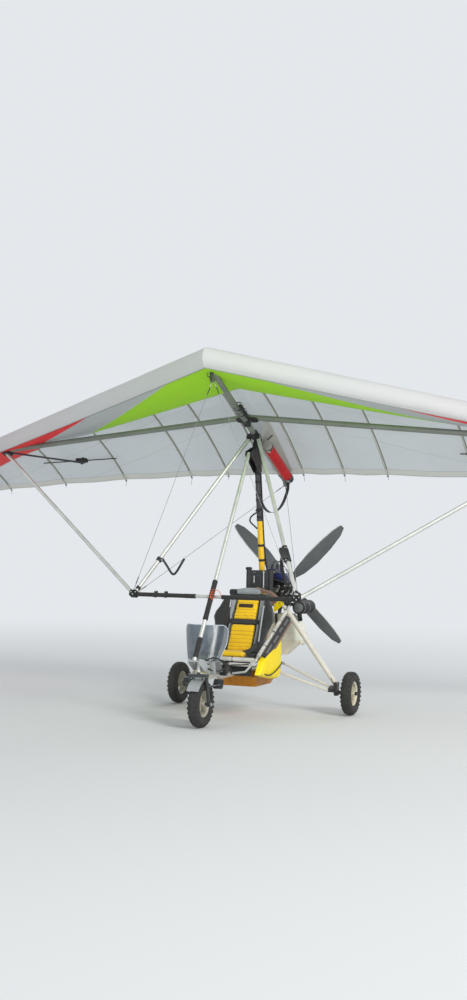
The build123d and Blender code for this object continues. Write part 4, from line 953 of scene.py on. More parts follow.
lines("mast_cables", *IN_RUBBER,
      (0.0045, [on_mast(2.28, 0.012, -0.03), on_mast(2.1, 0.02, -0.032), on_mast(1.8, 0.02, -0.032),
                on_mast(1.5, 0.018, -0.032), on_mast(1.36, 0.02, -0.034), on_mast(1.28, 0.03, -0.09)]),
      (0.006, [on_mast(2.24, 0.031, 0), on_mast(2.1, 0.034, 0.004), on_mast(1.9, 0.033, 0.006),
               on_mast(1.6, 0.033, 0), on_mast(1.36, 0.036, -0.01), on_mast(1.24, 0.06, -0.06)]),
      (0.0075, [on_mast(1.868, -0.026, 0.012), on_mast(1.846, -0.07, 0.02), on_mast(1.8, -0.104, 0.024),
                on_mast(1.765, -0.082, 0.02), on_mast(1.742, -0.05, 0.014), on_mast(1.715, -0.027, 0.012)]))

tie = used("orange_cord", (226, 104, 40), (196, 82, 30), 0.7, grain=1800, depth=0.0002)
turns = []
for i in range(25):          # four turns, 21 mm apart
    angle, rise = math.tau * i / 6, 0.0035 * i
    side = STRUT_RUN.cross(Vector((1, 0, 0))).normalized()
    turns.append(on_strut(1.075 + rise) + 0.0262 * (math.cos(angle) * Vector((1, 0, 0)) + math.sin(angle) * side))
lines("orange_tie", tie, "yellow_paint", (0.0028, turns),
      (0.0028, run_from(turns[-1], (0, 0, 0), (0.03, -0.004, 0.006), (0.05, -0.008, -0.02), (0.058, -0.008, -0.055))),
      (0.0028, run_from(turns[0], (0, 0, 0), (-0.014, -0.03, 0.01), (-0.02, -0.034, 0.05), (0.004, -0.03, 0.07))))

# The parachute's bridle leaves the canister's tail, hangs and comes back up to the mast.
bridle = Shape()
bridle.ribbon([on_wing(0.05, 2.014, -0.034), (0.06, 0.88, 2.12), (0.052, 0.77, 1.98), (0.04, 0.64, 1.9),
               (0.024, 0.5, 1.88), (0.01, 0.38, 1.92), on_mast(1.99, 0.004, -0.03)],
              0.03, 0.0025, (1, 0.25, 0.1), steps=10)
bridle.collar(on_mast(1.99), MAST_RUN, 0.0284, 0.031, 0.03, soft=0.0008)
bridle_piece = bridle.piece("parachute_bridle", *IN_WEBBING, None)
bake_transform(bridle_piece)


# Seat cushions
# Sewn covers over foam, each its own pad on the bucket: two quilted yellow panels with a black strap between
# them, pale strips at their sides, black bolsters, a base cushion, a head roll and laced flaps on the rails.
SEAT_BEND = place(0, -0.168, 0.548)
SEAT_UP = Vector((0, 0.266, 0.55)).normalized()
SEAT_OUT = Vector((0, -SEAT_UP.z, SEAT_UP.y))
ON_BACK = Matrix.Translation(SEAT_BEND) @ Matrix((
    (1, 0, 0, 0), (0, SEAT_UP.y, SEAT_OUT.y, 0), (0, SEAT_UP.z, SEAT_OUT.z, 0), (0, 0, 0, 1)))


def settled(piece):
    """The piece with its modifiers made real."""
    piece.data = bpy.data.meshes.new_from_object(piece.evaluated_get(bpy.context.evaluated_depsgraph_get()))
    piece.modifiers.clear()
    return piece


VOXEL, PRESSURE, FILLING_FRAMES = 0.005, 4.0, 20


def stuffed(name, bm, cap):
    """Closed cover filled until it swells: pushed out by pressure, each point by at most a cap."""
    mesh = bpy.data.meshes.new(name)
    bm.to_mesh(mesh)
    bm.free()
    piece = shown(name, mesh)
    even = piece.modifiers.new("even", "REMESH")
    even.mode, even.voxel_size, even.use_smooth_shade = "VOXEL", VOXEL, True
    settled(piece)
    start = [v.co.copy() for v in piece.data.vertices]
    cloth = piece.modifiers.new("filling", "CLOTH")
    cloth.settings.use_pressure = True
    cloth.settings.uniform_pressure_force = PRESSURE
    cloth.settings.effector_weights.gravity = 0
    for frame_number in range(FILLING_FRAMES):
        bpy.context.scene.frame_set(frame_number + 1)
    settled(piece)
    bpy.context.scene.frame_set(1)
    for v, old in zip(piece.data.vertices, start):
        move = v.co - old
        v.co = old + move * min(1, cap / max(move.length, 1e-9))
    smooth = piece.modifiers.new("smooth", "SUBSURF")
    smooth.levels = smooth.render_levels = 1
    return settled(piece)


def both_halves(*half):
    """Closed outline from its half on the side where x is above 0."""
    return [*half, *((-u, v) for u, v in reversed(half))]


def pad(name, outline, thick, to_frame, material, cap, seams=(), groove=0.006, reach=0.011):
    """Cushion from its outline: swelled, quilted along its seams, then set in its place."""
    bm = bmesh.new()
    face = bm.faces.new([bm.verts.new((u, v, cap * 0.6)) for u, v in outline])
    grown = bmesh.ops.extrude_face_region(bm, geom=[face])["geom"]
    bmesh.ops.translate(bm, verts=[g for g in grown if isinstance(g, bmesh.types.BMVert)],
                        vec=(0, 0, thick - 1.4 * cap))
    outward(bm)
    rounded(bm, bm.edges[:], min(0.012, 0.3 * thick), 3)
    piece = stuffed(name, bm, cap)
    mesh = piece.data
    seam = mesh.attributes.new("seam", "FLOAT", "POINT")
    for v in mesh.vertices:
        pull = 0
        for axis, at in seams:
            gap = abs(v.co[axis] - at)
            pull = max(pull, (1 - gap / reach) ** 2 if gap < reach else 0)
            if gap < 0.0022:
                seam.data[v.index].value = 0.7 + 0.3 * math.sin(v.co[1 - axis] * 1400)
        if v.co.z > thick * 0.4:
            v.co.z -= groove * pull * (1 + 0.18 * math.sin(v.co[0] * 160 + 3 * v.co[1]))
            v.co.z -= 0.0012 * math.sin(v.co[0] * 60 + 40 * v.co[1]) * math.sin(31 * v.co[0] + 1)
    mesh.transform(to_frame)
    if to_frame.determinant() < 0:
        mesh.flip_normals()
    mesh.shade_smooth()
    mesh.materials.append(material)
    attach(piece, "trike")
    return piece


YELLOW_CLOTH = woven("seat_yellow", (255, 212, 0), (250, 190, 0), 0.0016, 0.00012)
BLACK_CLOTH = woven("seat_black", (25, 26, 28), (38, 39, 39), 0.0016, 0.00014)
GREY_CLOTH = woven("seat_grey", (158, 164, 168), (128, 134, 138), 0.0016, 0.00012)
STRIP_CLOTH = woven("seat_strip", (176, 180, 184), (140, 146, 150), 0.0016, 0.00012)

for word, half, seams in (
        ("upper", ((0.114, 0.344), (0.117, 0.38), (0.108, 0.56), (0.094, 0.572)), (0.378, 0.41, 0.442, 0.508)),
        ("lower", ((0.116, 0.03), (0.124, 0.06), (0.121, 0.285), (0.11, 0.302)), (0.075, 0.112, 0.15, 0.188, 0.226))):
    panel = pad(f"seat_panel_{word}", both_halves(*half), 0.043, ON_BACK, YELLOW_CLOTH, 0.007,
                [(1, y) for y in seams])
    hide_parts("backrest_pad")

# The flaps hang from the rails over the edges of the pods.
MIRROR = Matrix.Scale(-1, 4, (1, 0, 0))
ALONG = Vector((0, 0.8804, 0.4743))
OVER = Vector((-0.76, -0.3083, 0.5722))
ON_RAIL = Matrix.Translation(place(0.2745, 0.0313, 0.7592)) @ Matrix((
    *((ALONG[i], OVER[i], ALONG.cross(OVER)[i], 0) for i in range(3)), (0, 0, 0, 1)))
for side, word in ((1, "left"), (-1, "right")):
    ways = Matrix() if side > 0 else MIRROR
    strip = pad(f"seat_strip_{word}", [
        (0.128, 0.072), (0.15, 0.072), (0.156, 0.34), (0.172, 0.42), (0.178, 0.585), (0.114, 0.585), (0.124, 0.36)],
        0.031, ways @ ON_BACK, STRIP_CLOTH, 0.004, [(1, 0.33)], 0.004)
    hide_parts("side_strips")
    pad(f"seat_bolster_{word}", [
        (0.164, 0.004), (0.23, 0.004), (0.243, 0.14), (0.262, 0.24), (0.294, 0.35), (0.284, 0.4), (0.214, 0.55),
        (0.182, 0.55), (0.166, 0.36)], 0.092, ways @ ON_BACK, BLACK_CLOTH, 0.007,
        [(0, 0.2), (1, 0.24)], 0.005)
    flap = pad(f"rail_flap_{word}", [
        (-0.4, -0.046), (-0.24, -0.07), (0, -0.084), (0.26, -0.08), (0.31, -0.045), (0.3, 0), (-0.4, 0)],
        0.02, ways @ ON_RAIL, BLACK_CLOTH, 0.003, [(0, -0.11), (0, 0.11), (1, -0.07)], 0.003, 0.007)
    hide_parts("side_flaps")


def level(height):
    """Flat on the drawing at a height."""
    return Matrix.Translation(place(0, 0, height))


base = pad("seat_base", both_halves((0.128, -0.364), (0.13, -0.185)), 0.052, level(0.549), YELLOW_CLOTH,
           0.008, [(1, -0.25), (1, -0.31)])
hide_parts("base_pad")
roll = pad("head_roll_cover", [
    (-0.128, 0.052), (0.114, 0.052), (0.1, 0.12), (0.085, 0.165), (-0.085, 0.165), (-0.106, 0.12)],
    0.062, level(1.094), GREY_CLOTH, 0.01, [(0, -0.06)], 0.004)
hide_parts("head_roll")
pad("head_roll_base", [(-0.196, 0.046), (0.176, 0.046), (0.176, 0.15), (-0.196, 0.15)], 0.05, level(1.056),
    BLACK_CLOTH, 0.008)
pad("head_roll_end", [(-0.205, 0.06), (-0.118, 0.06), (-0.1, 0.15), (-0.19, 0.15)], 0.064, level(1.086),
    BLACK_CLOTH, 0.01)


# Seat trim
# A black strap crosses the quilting, a blank dark patch is sewn on near the top, binding edges the panels, and a
# lashing runs from eyelet to eyelet round each rail. A rolled strap in rust-brown webbing lies over the head roll.
dress(used("bucket", (36, 38, 39), (54, 55, 55), 0.6, grain=700, depth=0.00012), "seat_shell")


def on_back(x, up, out):
    return ON_BACK @ Vector((x, up, out))


trim, patch, belts, pale, shade_sheet = Shape(), Shape(), Shape(), Shape(), Shape()
trim.ribbon([on_back(x, 0.323 - 0.001 * (abs(x) > 0.15), out) for x, out in (
    (-0.163, 0.02), (-0.13, 0.037), (-0.06, 0.041), (0.06, 0.041), (0.13, 0.037), (0.163, 0.02))],
    0.04, 0.003, SEAT_UP)
patch.block(on_back(-0.004, 0.476, 0.0478), (0.142, 0.036, 0.005), 0.0015, ON_BACK.to_3x3())
for side in (-1, 1):
    trim.ribbon([on_back(side * x, up, out) for x, up, out in (
        (0.127, 0.05, 0.036), (0.126, 0.2, 0.038), (0.122, 0.38, 0.038), (0.111, 0.572, 0.036))],
        0.005, 0.004, (1, 0, 0))
    patch.block(on_back(side * 0.062 - 0.004, 0.476, 0.0504), (0.008, 0.032, 0.0016), 0.0005, ON_BACK.to_3x3())
patch.piece("seat_patch", used("patch", (62, 44, 26), (48, 36, 24), 0.6), "seat_black")
trim.piece("seat_trim", WEBBING, "seat_black")
RUST = woven("rust_webbing", (140, 106, 88), (104, 78, 66), 0.002, 0.0002)
for side, hang in ((1, 0), (-1, 0.02)):
    belts.ribbon([on_back(side * 0.196, 0.09, 0.1), on_back(side * 0.186, 0.05, 0.112),
                  on_back(side * 0.15, 0.004 + hang, 0.125), on_back(side * 0.1, -0.03 + hang, 0.15)],
                 0.04, 0.0025, (0, 0.2, 1))
lines("harness_straps", RUST, "yellow_moulding",
      (0.016, [(0.05, 0.11, 1.15), (0.09, 0.09, 1.152), (0.13, 0.078, 1.134), (0.175, 0.078, 1.128),
                (0.222, 0.086, 1.112), (0.255, 0.104, 1.08), (0.25, 0.13, 1.045),
                (0.205, 0.13, 1.02), (0.16, 0.12, 1.0)]))
belts.piece("lap_belts", WEBBING, "seat_black")
pale.ribbon([on_back(0.196, 0.46, 0.1), on_back(0.2, 0.36, 0.104), on_back(0.206, 0.22, 0.104),
             on_back(0.21, 0.11, 0.1)], 0.013, 0.003, (1, 0.2, 0))
pale.piece("shoulder_belt", STRIP_CLOTH, "seat_grey")
# Painted shade: a black cloth sheet across the seat's front, standing in for the shadow under the seat and in the tub.
shade_sheet.block((0, -0.345, 0.452), (0.4, 0.012, 0.13), 0.004, Matrix.Rotation(math.radians(-14), 3, "X"))
shade_sheet.piece("painted_shade_sheet", BLACK_CLOTH, "seat_black")


RAIL_FRONT, RAIL_FRONT_Z, RAIL_SLOPE = -0.3855, 0.535, 0.449 / 0.8335


def rail_at(y, side):
    """Point on a side rail's axis."""
    return place(side * 0.256, y, RAIL_FRONT_Z + RAIL_SLOPE * (y - RAIL_FRONT))


LACE_PITCH = 0.054
lashing, eyelets, sleeves = [], Shape(), Shape()
for side in (-1, 1):
    rail_run = (rail_at(0.3, side) - rail_at(-0.3, side)).normalized()
    below = rail_run.cross(Vector((1, 0, 0))).normalized()
    below = below if below.z < 0 else -below
    points = []
    for i in range(12):
        centre = rail_at(-0.3 + LACE_PITCH * i, side)
        for angle in (0, 80, 160, 240):
            a = math.radians(angle)
            points.append(centre + rail_run * LACE_PITCH * angle / 360
                          + 0.0208 * (side * math.sin(a) * Vector((1, 0, 0)) - math.cos(a) * below))
        hole = centre + rail_run * 0.048 + below * 0.026
        points.append(hole + Vector((side * 0.004, 0, 0)))
        eyelets.turned(hole + Vector((side * 0.0016, 0, 0)), (side, 0, 0),
                       [(0, 0.0035), (0.0018, 0.004), (0.0018, 0.0068), (0, 0.0075)], sides=20)
    lashing.append((0.0026, points))
    for y in (-0.34, 0.37):
        eyelets.collar(rail_at(y, side), rail_run, 0.0128, 0.016, 0.02)
    for low, high in ((-0.33, -0.19), (-0.172, 0.02), (0.036, 0.2), (0.214, 0.36)):
        sleeves.rod(rail_at(low, side), rail_at(high, side), 0.0185, soft=0.004)
for x0, x1, z, radius in ((-0.19, 0.02, RAIL_FRONT_Z, 0.0195), (0.034, 0.236, RAIL_FRONT_Z, 0.0195),
                          (0, 0.205, 0.49, 0.0155)):
    sleeves.rod((x0, RAIL_FRONT, z), (x1, RAIL_FRONT, z), radius, soft=0.004)
sleeves.piece("rail_sleeves", foam("pale_foam", (224, 222, 214), (186, 184, 174)), "grip_foam")
lines("flap_lashing", *IN_RUBBER, *lashing, order=3)
eyelets.piece("flap_eyelets", *IN_STEEL)

# A brownish band edges each flap along the pod, and pale patches are sewn on under its lacing.
bands, patches = Shape(), Shape()
for side in (-1, 1):
    frame_here = ON_RAIL if side > 0 else MIRROR @ ON_RAIL
    bands.ribbon([frame_here @ Vector((u, -0.074, 0.0215)) for u in (-0.22, -0.1, 0, 0.12, 0.25)], 0.015, 0.002,
                 frame_here.to_3x3() @ Vector((0, 1, 0)))
    for low, high, v in ((-0.34, -0.2, -0.03), (-0.16, -0.04, -0.036), (0.02, 0.1, -0.03), (0.14, 0.25, -0.036)):
        patches.ribbon([frame_here @ Vector((low + (high - low) * t / 3, v, 0.0222)) for t in range(4)], 0.018, 0.002,
                       frame_here.to_3x3() @ Vector((0, 1, 0)))
bands.piece("flap_bands", RUST, "yellow_moulding")
patches.piece("flap_patches", woven("flap_patch", (104, 106, 108), (72, 74, 76), 0.002, 0.0003),
              "seat_grey")


# Fairing
# Two bulged yellow side pods, laid up in glass cloth, and a yellow tub under the seat, coloured darker and more
# orange as painted shade. Screws with cup washers fix their edges; the tub's floor is dusty and scratched where it
# meets the grass.
def moulding(name, colour, shade, scuff):
    """Painted moulding with a slight ripple from its mould, and specks of dust and scratches low down."""
    f = Finish(name, colour, 0.4, Coat_Weight=0.06, Coat_Roughness=0.2, Specular_IOR_Level=0.3)
    axes = f.node("SeparateXYZ")
    f.links.new(f.here(), axes.inputs[0])
    f.tint(f.cloud(4), shade, 0.5)
    low = f.node("MapRange", From_Min=0.62, From_Max=0.27)
    f.links.new(axes.outputs[2], low.inputs["Value"])
    f.tint(f.math("MULTIPLY", low.outputs[0], f.cloud(26, low=0.45, high=0.75)), scuff, 0.55)
    f.tint(f.math("MULTIPLY", low.outputs[0], f.cloud(320, vector=f.here((1, 0.07, 1)), low=0.6, high=0.7)),
           (250, 240, 190), 0.4)
    return f.dull(f.cloud(22), 0.16).raise_by(f.cloud(9, detail=2), 0.0012).done()


POD_YELLOW = moulding("pod_yellow", (255, 230, 0), (255, 214, 0), (204, 164, 30))
# Painted shade: the tub is the pods' yellow moulding, coloured darker and more orange for the shade under the seat.
SHADED_TUB_YELLOW = moulding("tub_yellow_painted_shade", (198, 126, 4), (160, 96, 6), (100, 70, 28))
dress(SHADED_TUB_YELLOW, "belly_tub")
# Rows of the share of the length, then the lower edge's and the upper edge's place along and up.
POD_ROWS = ((0, -0.455, 0.41, -0.372, 0.524), (0.3, -0.29, 0.38, -0.24, 0.59), (0.6, -0.1, 0.35, -0.09, 0.668),
            (0.84, 0.03, 0.338, 0.03, 0.73), (0.94, 0.08, 0.37, 0.08, 0.742), (1, 0.102, 0.44, 0.102, 0.7))


def on_pod(side, u, v, out=0.0):
    """Point of a pod's outer face, u along and v up, each from 0 to 1."""
    low_y, low_z, high_y, high_z = (between(POD_ROWS, u, i) for i in range(1, 5))
    rolled = max(abs(2 * u - 1), abs(2 * v - 1))
    belly = (1 - (2 * u - 1) ** 4) * (1 - (2 * v - 1) ** 4)
    x = 0.315 + 0.012 * belly - 0.042 * max(0, (rolled - 0.9) / 0.1) ** 2 + out
    return place(side * x, low_y + v * (high_y - low_y), low_z + v * (high_z - low_z))


for side, word in ((1, "left"), (-1, "right")):
    bm = grid(72, 40)
    for v in bm.verts:
        v.co = on_pod(side, v.co.x + 0.5, v.co.y + 0.5)
    outward(bm)
    bmesh.ops.solidify(bm, geom=bm.faces[:], thickness=0.0035)
    outward(bm)
    pod = finished(f"pod_{word}", bm, "trike", POD_YELLOW)
    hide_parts("side_pods")
screws = Shape()
for side in (-1, 1):
    for u, v in ((0.1, 0.14), (0.3, 0.1), (0.5, 0.1), (0.7, 0.1), (0.92, 0.2), (0.94, 0.5), (0.94, 0.8)):
        at = on_pod(side, u, v)
        screws.turned(at, on_pod(side, u, v, 0.01) - at,
                      [(0, 0), (0, 0.009), (0.0022, 0.007), (0.0034, 0.0042), (0.0038, 0)], sides=24)
lines("pod_cable", *IN_RUBBER, *[
    (0.0055, [(side * 0.262, -0.37, 0.5), (side * 0.3, -0.4, 0.45), (side * 0.326, -0.33, 0.4),
              (side * 0.338, -0.22, 0.392), (side * 0.338, -0.1, 0.42), (side * 0.336, 0.03, 0.46),
              (side * 0.31, 0.12, 0.48)]) for side in (-1, 1)])
for y in (-0.24, -0.12, 0, 0.12, 0.24, 0.32):
    for side in (-1, 1):
        screws.turned((side * 0.211, y, 0.376), (0, 0, 1),
                      [(0, 0), (0, 0.007), (0.0018, 0.0055), (0.003, 0)], sides=20)
screws.piece("fairing_screws", *IN_STEEL)


# Fuel tank
# Natural rotomoulded polyethylene, milky and slightly see-through, darker where the fuel stands, with a mould seam,
# a round bulge on each flank, a filler cap and hoses.
def milky():
    f = Finish("tank_white", (240, 238, 226), 0.42, Subsurface_Weight=0.25, Subsurface_Scale=0.03)
    axes = f.node("SeparateXYZ")
    f.links.new(f.here(), axes.inputs[0])
    f.tint(f.math("LESS_THAN", axes.outputs[2], 0.66), (216, 208, 180), 0.5)         # where the fuel stands
    f.tint(near(f, axes.outputs[2], 0.725, 0.0015), (186, 180, 160), 0.8)
    f.tint(f.cloud(5), (228, 224, 210), 0.5)
    f.tint(f.cloud(48, low=0.6, high=0.75), (170, 160, 134), 0.25)
    return f.raise_by(f.cloud(300), 0.00015).dull(f.cloud(12), 0.12).done()


def ring(count, radius, start=0.0):
    """Places evenly round a circle, as pairs."""
    return [(radius * math.cos(a), radius * math.sin(a)) for a in (math.tau * i / count + start for i in range(count))]


MILKY = milky()
dress(MILKY, "fuel_tank")
tank_parts, caps = Shape(), Shape()
for side in (-1, 1):
    tank_parts.turned((side * 0.318, 0.66, 0.7), (side, 0, 0),
                      [(0, 0), (0, 0.098), (0.012, 0.092), (0.024, 0.074), (0.032, 0.045), (0.035, 0)], sides=64)
    tank_parts.turned((side * 0.17, 0.6, 0.9), (0, 0, 1),
                      [(0, 0.03), (0.014, 0.03), (0.016, 0.026), (0.016, 0)], sides=40)
caps.turned((-0.17, 0.6, 0.913), (0, 0, 1), [(0, 0.034), (0.02, 0.034), (0.024, 0.03), (0.025, 0)], sides=40)
for u, v in ring(16, 0.034):
    caps.rod((u - 0.17, v + 0.6, 0.914), (u - 0.17, v + 0.6, 0.932), 0.003, sides=8)
tank_parts.piece("tank_bulges", MILKY, "tank_white")
caps.piece("tank_cap", *IN_NYLON)
tank_straps = Shape()
for x in (-0.1, 0.1):
    tank_straps.ribbon([(x, 0.556, 0.53), (x, 0.553, 0.65), (x, 0.53, 0.8), (x, 0.517, 0.9),
                        (x, 0.6, 0.9085), (x, 0.705, 0.902)], 0.028, 0.002, (1, 0, 0))
tank_straps.piece("tank_straps", *IN_WEBBING)
lines("fuel_hoses", used("fuel_hose", (196, 186, 150), (150, 140, 104), 0.4), "tank_white",
      (0.0045, [(0.17, 0.6, 0.914), (0.17, 0.6, 0.95), (0.15, 0.58, 0.99), (0.12, 0.6, 1.06),
                (0.11, 0.64, 1.14), (0.108, 0.66, 1.2)]),
      (0.004, [(0.1, 0.55, 0.53), (0.1, 0.52, 0.47), (0.06, 0.46, 0.45), (0.04, 0.4, 0.46)]))


# Windscreen and mudguard
# A small bent sheet of clear acrylic, screwed to its strip, on two sloping grey plates over the steering head;
# a short split mudguard rides on the fork.
FRONT_AXLE, WHEEL_R = -0.99, 0.2


def clear_sheet():
    f = Finish("clear_acrylic", (112, 124, 134), 0.06, Transmission_Weight=0.5, IOR=1.3, Alpha=0.76)
    f.tint(f.cloud(5), (84, 98, 110), 0.5)
    # Painted reflection: a bright white highlight band down the screen, halfway to its left edge, and a pale bluish
    # reflection along the left edge.
    off_highlight_band = f.math("ABSOLUTE", f.math("SUBTRACT", f.own("turn"), 0.5))
    highlight_band = f.math("MAXIMUM", 0.0, f.math("MULTIPLY_ADD", off_highlight_band, -7.0, 1.0))
    f.tint(f.math("POWER", highlight_band, 1.6), (250, 252, 254), 0.85)
    f.tint(f.math("GREATER_THAN", f.own("turn"), 0.8), (176, 190, 206), 0.6)
    return f.dull(f.cloud(40, low=0.5, high=0.8), 0.12).done()


GREY_PLATE = used("grey_plate", (168, 172, 172), (140, 144, 144), 0.42, 0.25, dirt=(110, 104, 84))
dress(GREY_PLATE, "screen_bracket", "mudguard")
# Rows of height, half width, and the places along the machine of the middle and of the edges.
SCREEN = ((0.556, 0.146, -0.912, -0.852), (0.7, 0.18, -0.896, -0.808), (0.862, 0.208, -0.882, -0.768))
SCREEN_FOOT, SCREEN_TOP = SCREEN[0][0], SCREEN[-1][0]


def on_screen(turn, z, out=0.0):
    """Point on the screen's front face: turn from -1 at its right edge to 1 at its left, and a height."""
    half, mid, edge = (between(SCREEN, z, i) for i in (1, 2, 3))
    sag = edge - mid
    radius = (half * half + sag * sag) / (2 * sag)
    angle = turn * math.asin(half / radius)
    return place(-0.046 + (radius + out) * math.sin(angle), mid + radius - (radius + out) * math.cos(angle), z)


def screen_edge(turn, share):
    """The same, from its foot to its top, whose corners are rounded and whose left side swells."""
    top = SCREEN_TOP - 0.05 * max(0, (abs(turn) - 0.72) / 0.28) ** 2
    swell = 1 + 0.09 * math.sin(math.pi * share) * max(0, turn)
    return on_screen(turn * swell, SCREEN_FOOT + share * (top - SCREEN_FOOT))


bm = grid(64, 32)
turn_layer = bm.verts.layers.float.new("turn")
for v in bm.verts:
    turn, share = 2 * v.co.x, v.co.y + 0.5
    v[turn_layer] = turn
    v.co = screen_edge(turn, share)
outward(bm)
bmesh.ops.solidify(bm, geom=bm.faces[:], thickness=0.003)
outward(bm)
screen = finished("clear_screen", bm, "trike", clear_sheet())
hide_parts("windscreen")
screen_screws = Shape()
for turn in (-0.94, -0.5, 0, 0.5, 0.94):
    at = on_screen(turn, 0.566)
    out = (on_screen(turn, 0.566, 0.01) - at).normalized()
    screen_screws.turned(at, out, [(0, 0), (0, 0.0085), (0.002, 0.0075), (0.0035, 0.004), (0.004, 0)], sides=24)
# The pale rod along the screen's sides and top is its edge, lightened as a painted highlight.
lines("screen_edge", used("screen_edge", (206, 216, 222), (180, 190, 198), 0.2),
      "clear_screen", (0.0028, [screen_edge(-1, t / 8) for t in range(9)]),
      (0.0028, [screen_edge(t / 12, 1) for t in range(-12, 13)]), (0.0028, [screen_edge(1, t / 8) for t in range(9)]))
for side in (-1, 1):
    for y, z in ((-0.87, 0.54), (-0.8, 0.481)):
        screen_screws.bolt((side * 0.094, y, z + 0.004), (0, 0.6, 0.8), 0.008)
screen_screws.piece("screen_screws", *IN_STEEL)
lines("nose_cables", *IN_RUBBER,
      (0.007, [(0.03, -1.0, 0.56), (0.08, -0.96, 0.6), (0.13, -0.88, 0.58), (0.13, -0.76, 0.5),
               (0.06, -0.62, 0.43), (0.04, -0.5, 0.43)]),
      (0.0055, [(0.05, -0.98, 0.5), (0.12, -0.93, 0.46), (0.16, -0.84, 0.5), (0.14, -0.7, 0.52),
                (0.16, -0.56, 0.5), (0.2, -0.42, 0.5)]),
      (0.009, [(-0.02, -0.82, 0.52), (0.05, -0.78, 0.56), (0.1, -0.7, 0.55), (0.1, -0.6, 0.48),
               (0.07, -0.5, 0.42)]),
      (0.005, [(-0.04, -0.98, 0.53), (-0.1, -0.9, 0.5), (-0.12, -0.76, 0.46), (-0.06, -0.6, 0.43)]))
latches = Shape()
for at, size in (((0.115, -0.74, 0.49), (0.05, 0.07, 0.06)), ((0.07, -0.66, 0.455), (0.06, 0.09, 0.05)),
                 ((0.14, -0.8, 0.47), (0.03, 0.04, 0.05))):
    latches.block(at, size, 0.006, Matrix.Rotation(0.4, 3, "X"))
latches.piece("nose_latches", *IN_NYLON)
nose_plate = Shape().block((0.086, -0.95, 0.505), (0.054, 0.006, 0.104), 0.002, Matrix.Rotation(-0.12, 3, "Y"))
nose_plate.rod((0, -0.93, 0.5), (0.088, -0.948, 0.5), 0.007).rod((0.012, -0.94, 0.54), (0.086, -0.948, 0.54), 0.005)
nose_plate.piece("nose_plate", GREY_PLATE, "alloy_tube")
guard = Shape()
for side in (-1, 1):
    for turn in (100, 118, 134):
        a = math.radians(turn)
        y, z = math.cos(a), math.sin(a)
        guard.bolt((side * 0.04, FRONT_AXLE + 0.2186 * y, WHEEL_R + 0.2186 * z), (0, y, z), 0.006, 0.003)
guard.piece("guard_bolts", *IN_STEEL, "steering")


# Wheels
# Knobbly block tread moulded on a round shoulder, thin sidewall ribs, cream cast rims with bolted halves, dark
# hubs, and a valve. The rim's paint is faded in patches, with specks of dust, smears and a fine grain.
TYRE_RUBBER = used("tyre_rubber", (45, 46, 46), (74, 72, 66), 0.78, grain=420, depth=0.00018,
                   dirt=(112, 102, 78))
RIM_PAINT = used("rim_paint", (214, 208, 186), (186, 180, 158), 0.46, dirt=(120, 108, 82))
dress(TYRE_RUBBER, "front_tyre", "left_tyre", "right_tyre")
dress(RIM_PAINT, "left_rim")
# Painted shade: this darker copy of the rim paint stands for shade on the right rim, whose inner side faces away from
# the light; on the front rim it is dust.
dress(used("dusty_and_shaded_rim", (176, 171, 154), (142, 137, 120), 0.5, dirt=(92, 82, 62)), "front_rim", "right_rim")
MAIN_AXLE, TRACK_HALF = 0.44, 0.88


def tread(name, x, y, body):
    """Tread blocks in five staggered rows on the crown and shoulders, and two ribs on each sidewall. A row has its
    distance off the middle, its radius, its lean and a block's width and length."""
    shape = Shape()
    rows = ((0, 0.1959, 0, 0.019, 0.02), (0.0235, 0.1939, 17, 0.018, 0.021), (-0.0235, 0.1939, -17, 0.018, 0.021),
            (0.041, 0.1799, 46, 0.017, 0.02), (-0.041, 0.1799, -46, 0.017, 0.02))
    for row, (off, radius, lean, wide, long) in enumerate(rows):
        for i in range(26):
            angle = math.tau * (i + 0.5 * (row % 2)) / 26
            turn = Matrix.Rotation(-angle, 3, "X") @ Matrix.Rotation(math.radians(lean), 3, "Y")
            at = (x + off, y + radius * math.sin(angle), WHEEL_R + radius * math.cos(angle))
            shape.block(at, (wide, long, 0.007), 0.0014, turn)
    for way in (-1, 1):
        for radius, width in ((0.126, 0.0445), (0.15, 0.0465)):
            shape.turned((x + way * width, y, WHEEL_R), (way, 0, 0),
                         [(-0.002, radius - 0.002), (0.0012, radius - 0.001), (0.0012, radius + 0.001),
                          (-0.002, radius + 0.002)], sides=72)
    shape.piece(name, TYRE_RUBBER, "tyre", body)


def hub_fittings(name, x, y, body, face):
    """Bolts round both faces of a hub, and the valve, which stands out towards one face."""
    shape = Shape()
    for way in (1, -1):
        for u, v in ring(6, 0.03, 0.3):
            shape.bolt((x + way * 0.027, y + u, WHEEL_R + v), (way, 0, 0), 0.006)
    u, v = math.cos(0.9), math.sin(0.9)
    shape.rod((x + face * 0.012, y + 0.098 * u, WHEEL_R + 0.098 * v),
              (x + face * 0.03, y + 0.078 * u, WHEEL_R + 0.078 * v), 0.0035)
    shape.piece(name, *IN_STEEL, body)


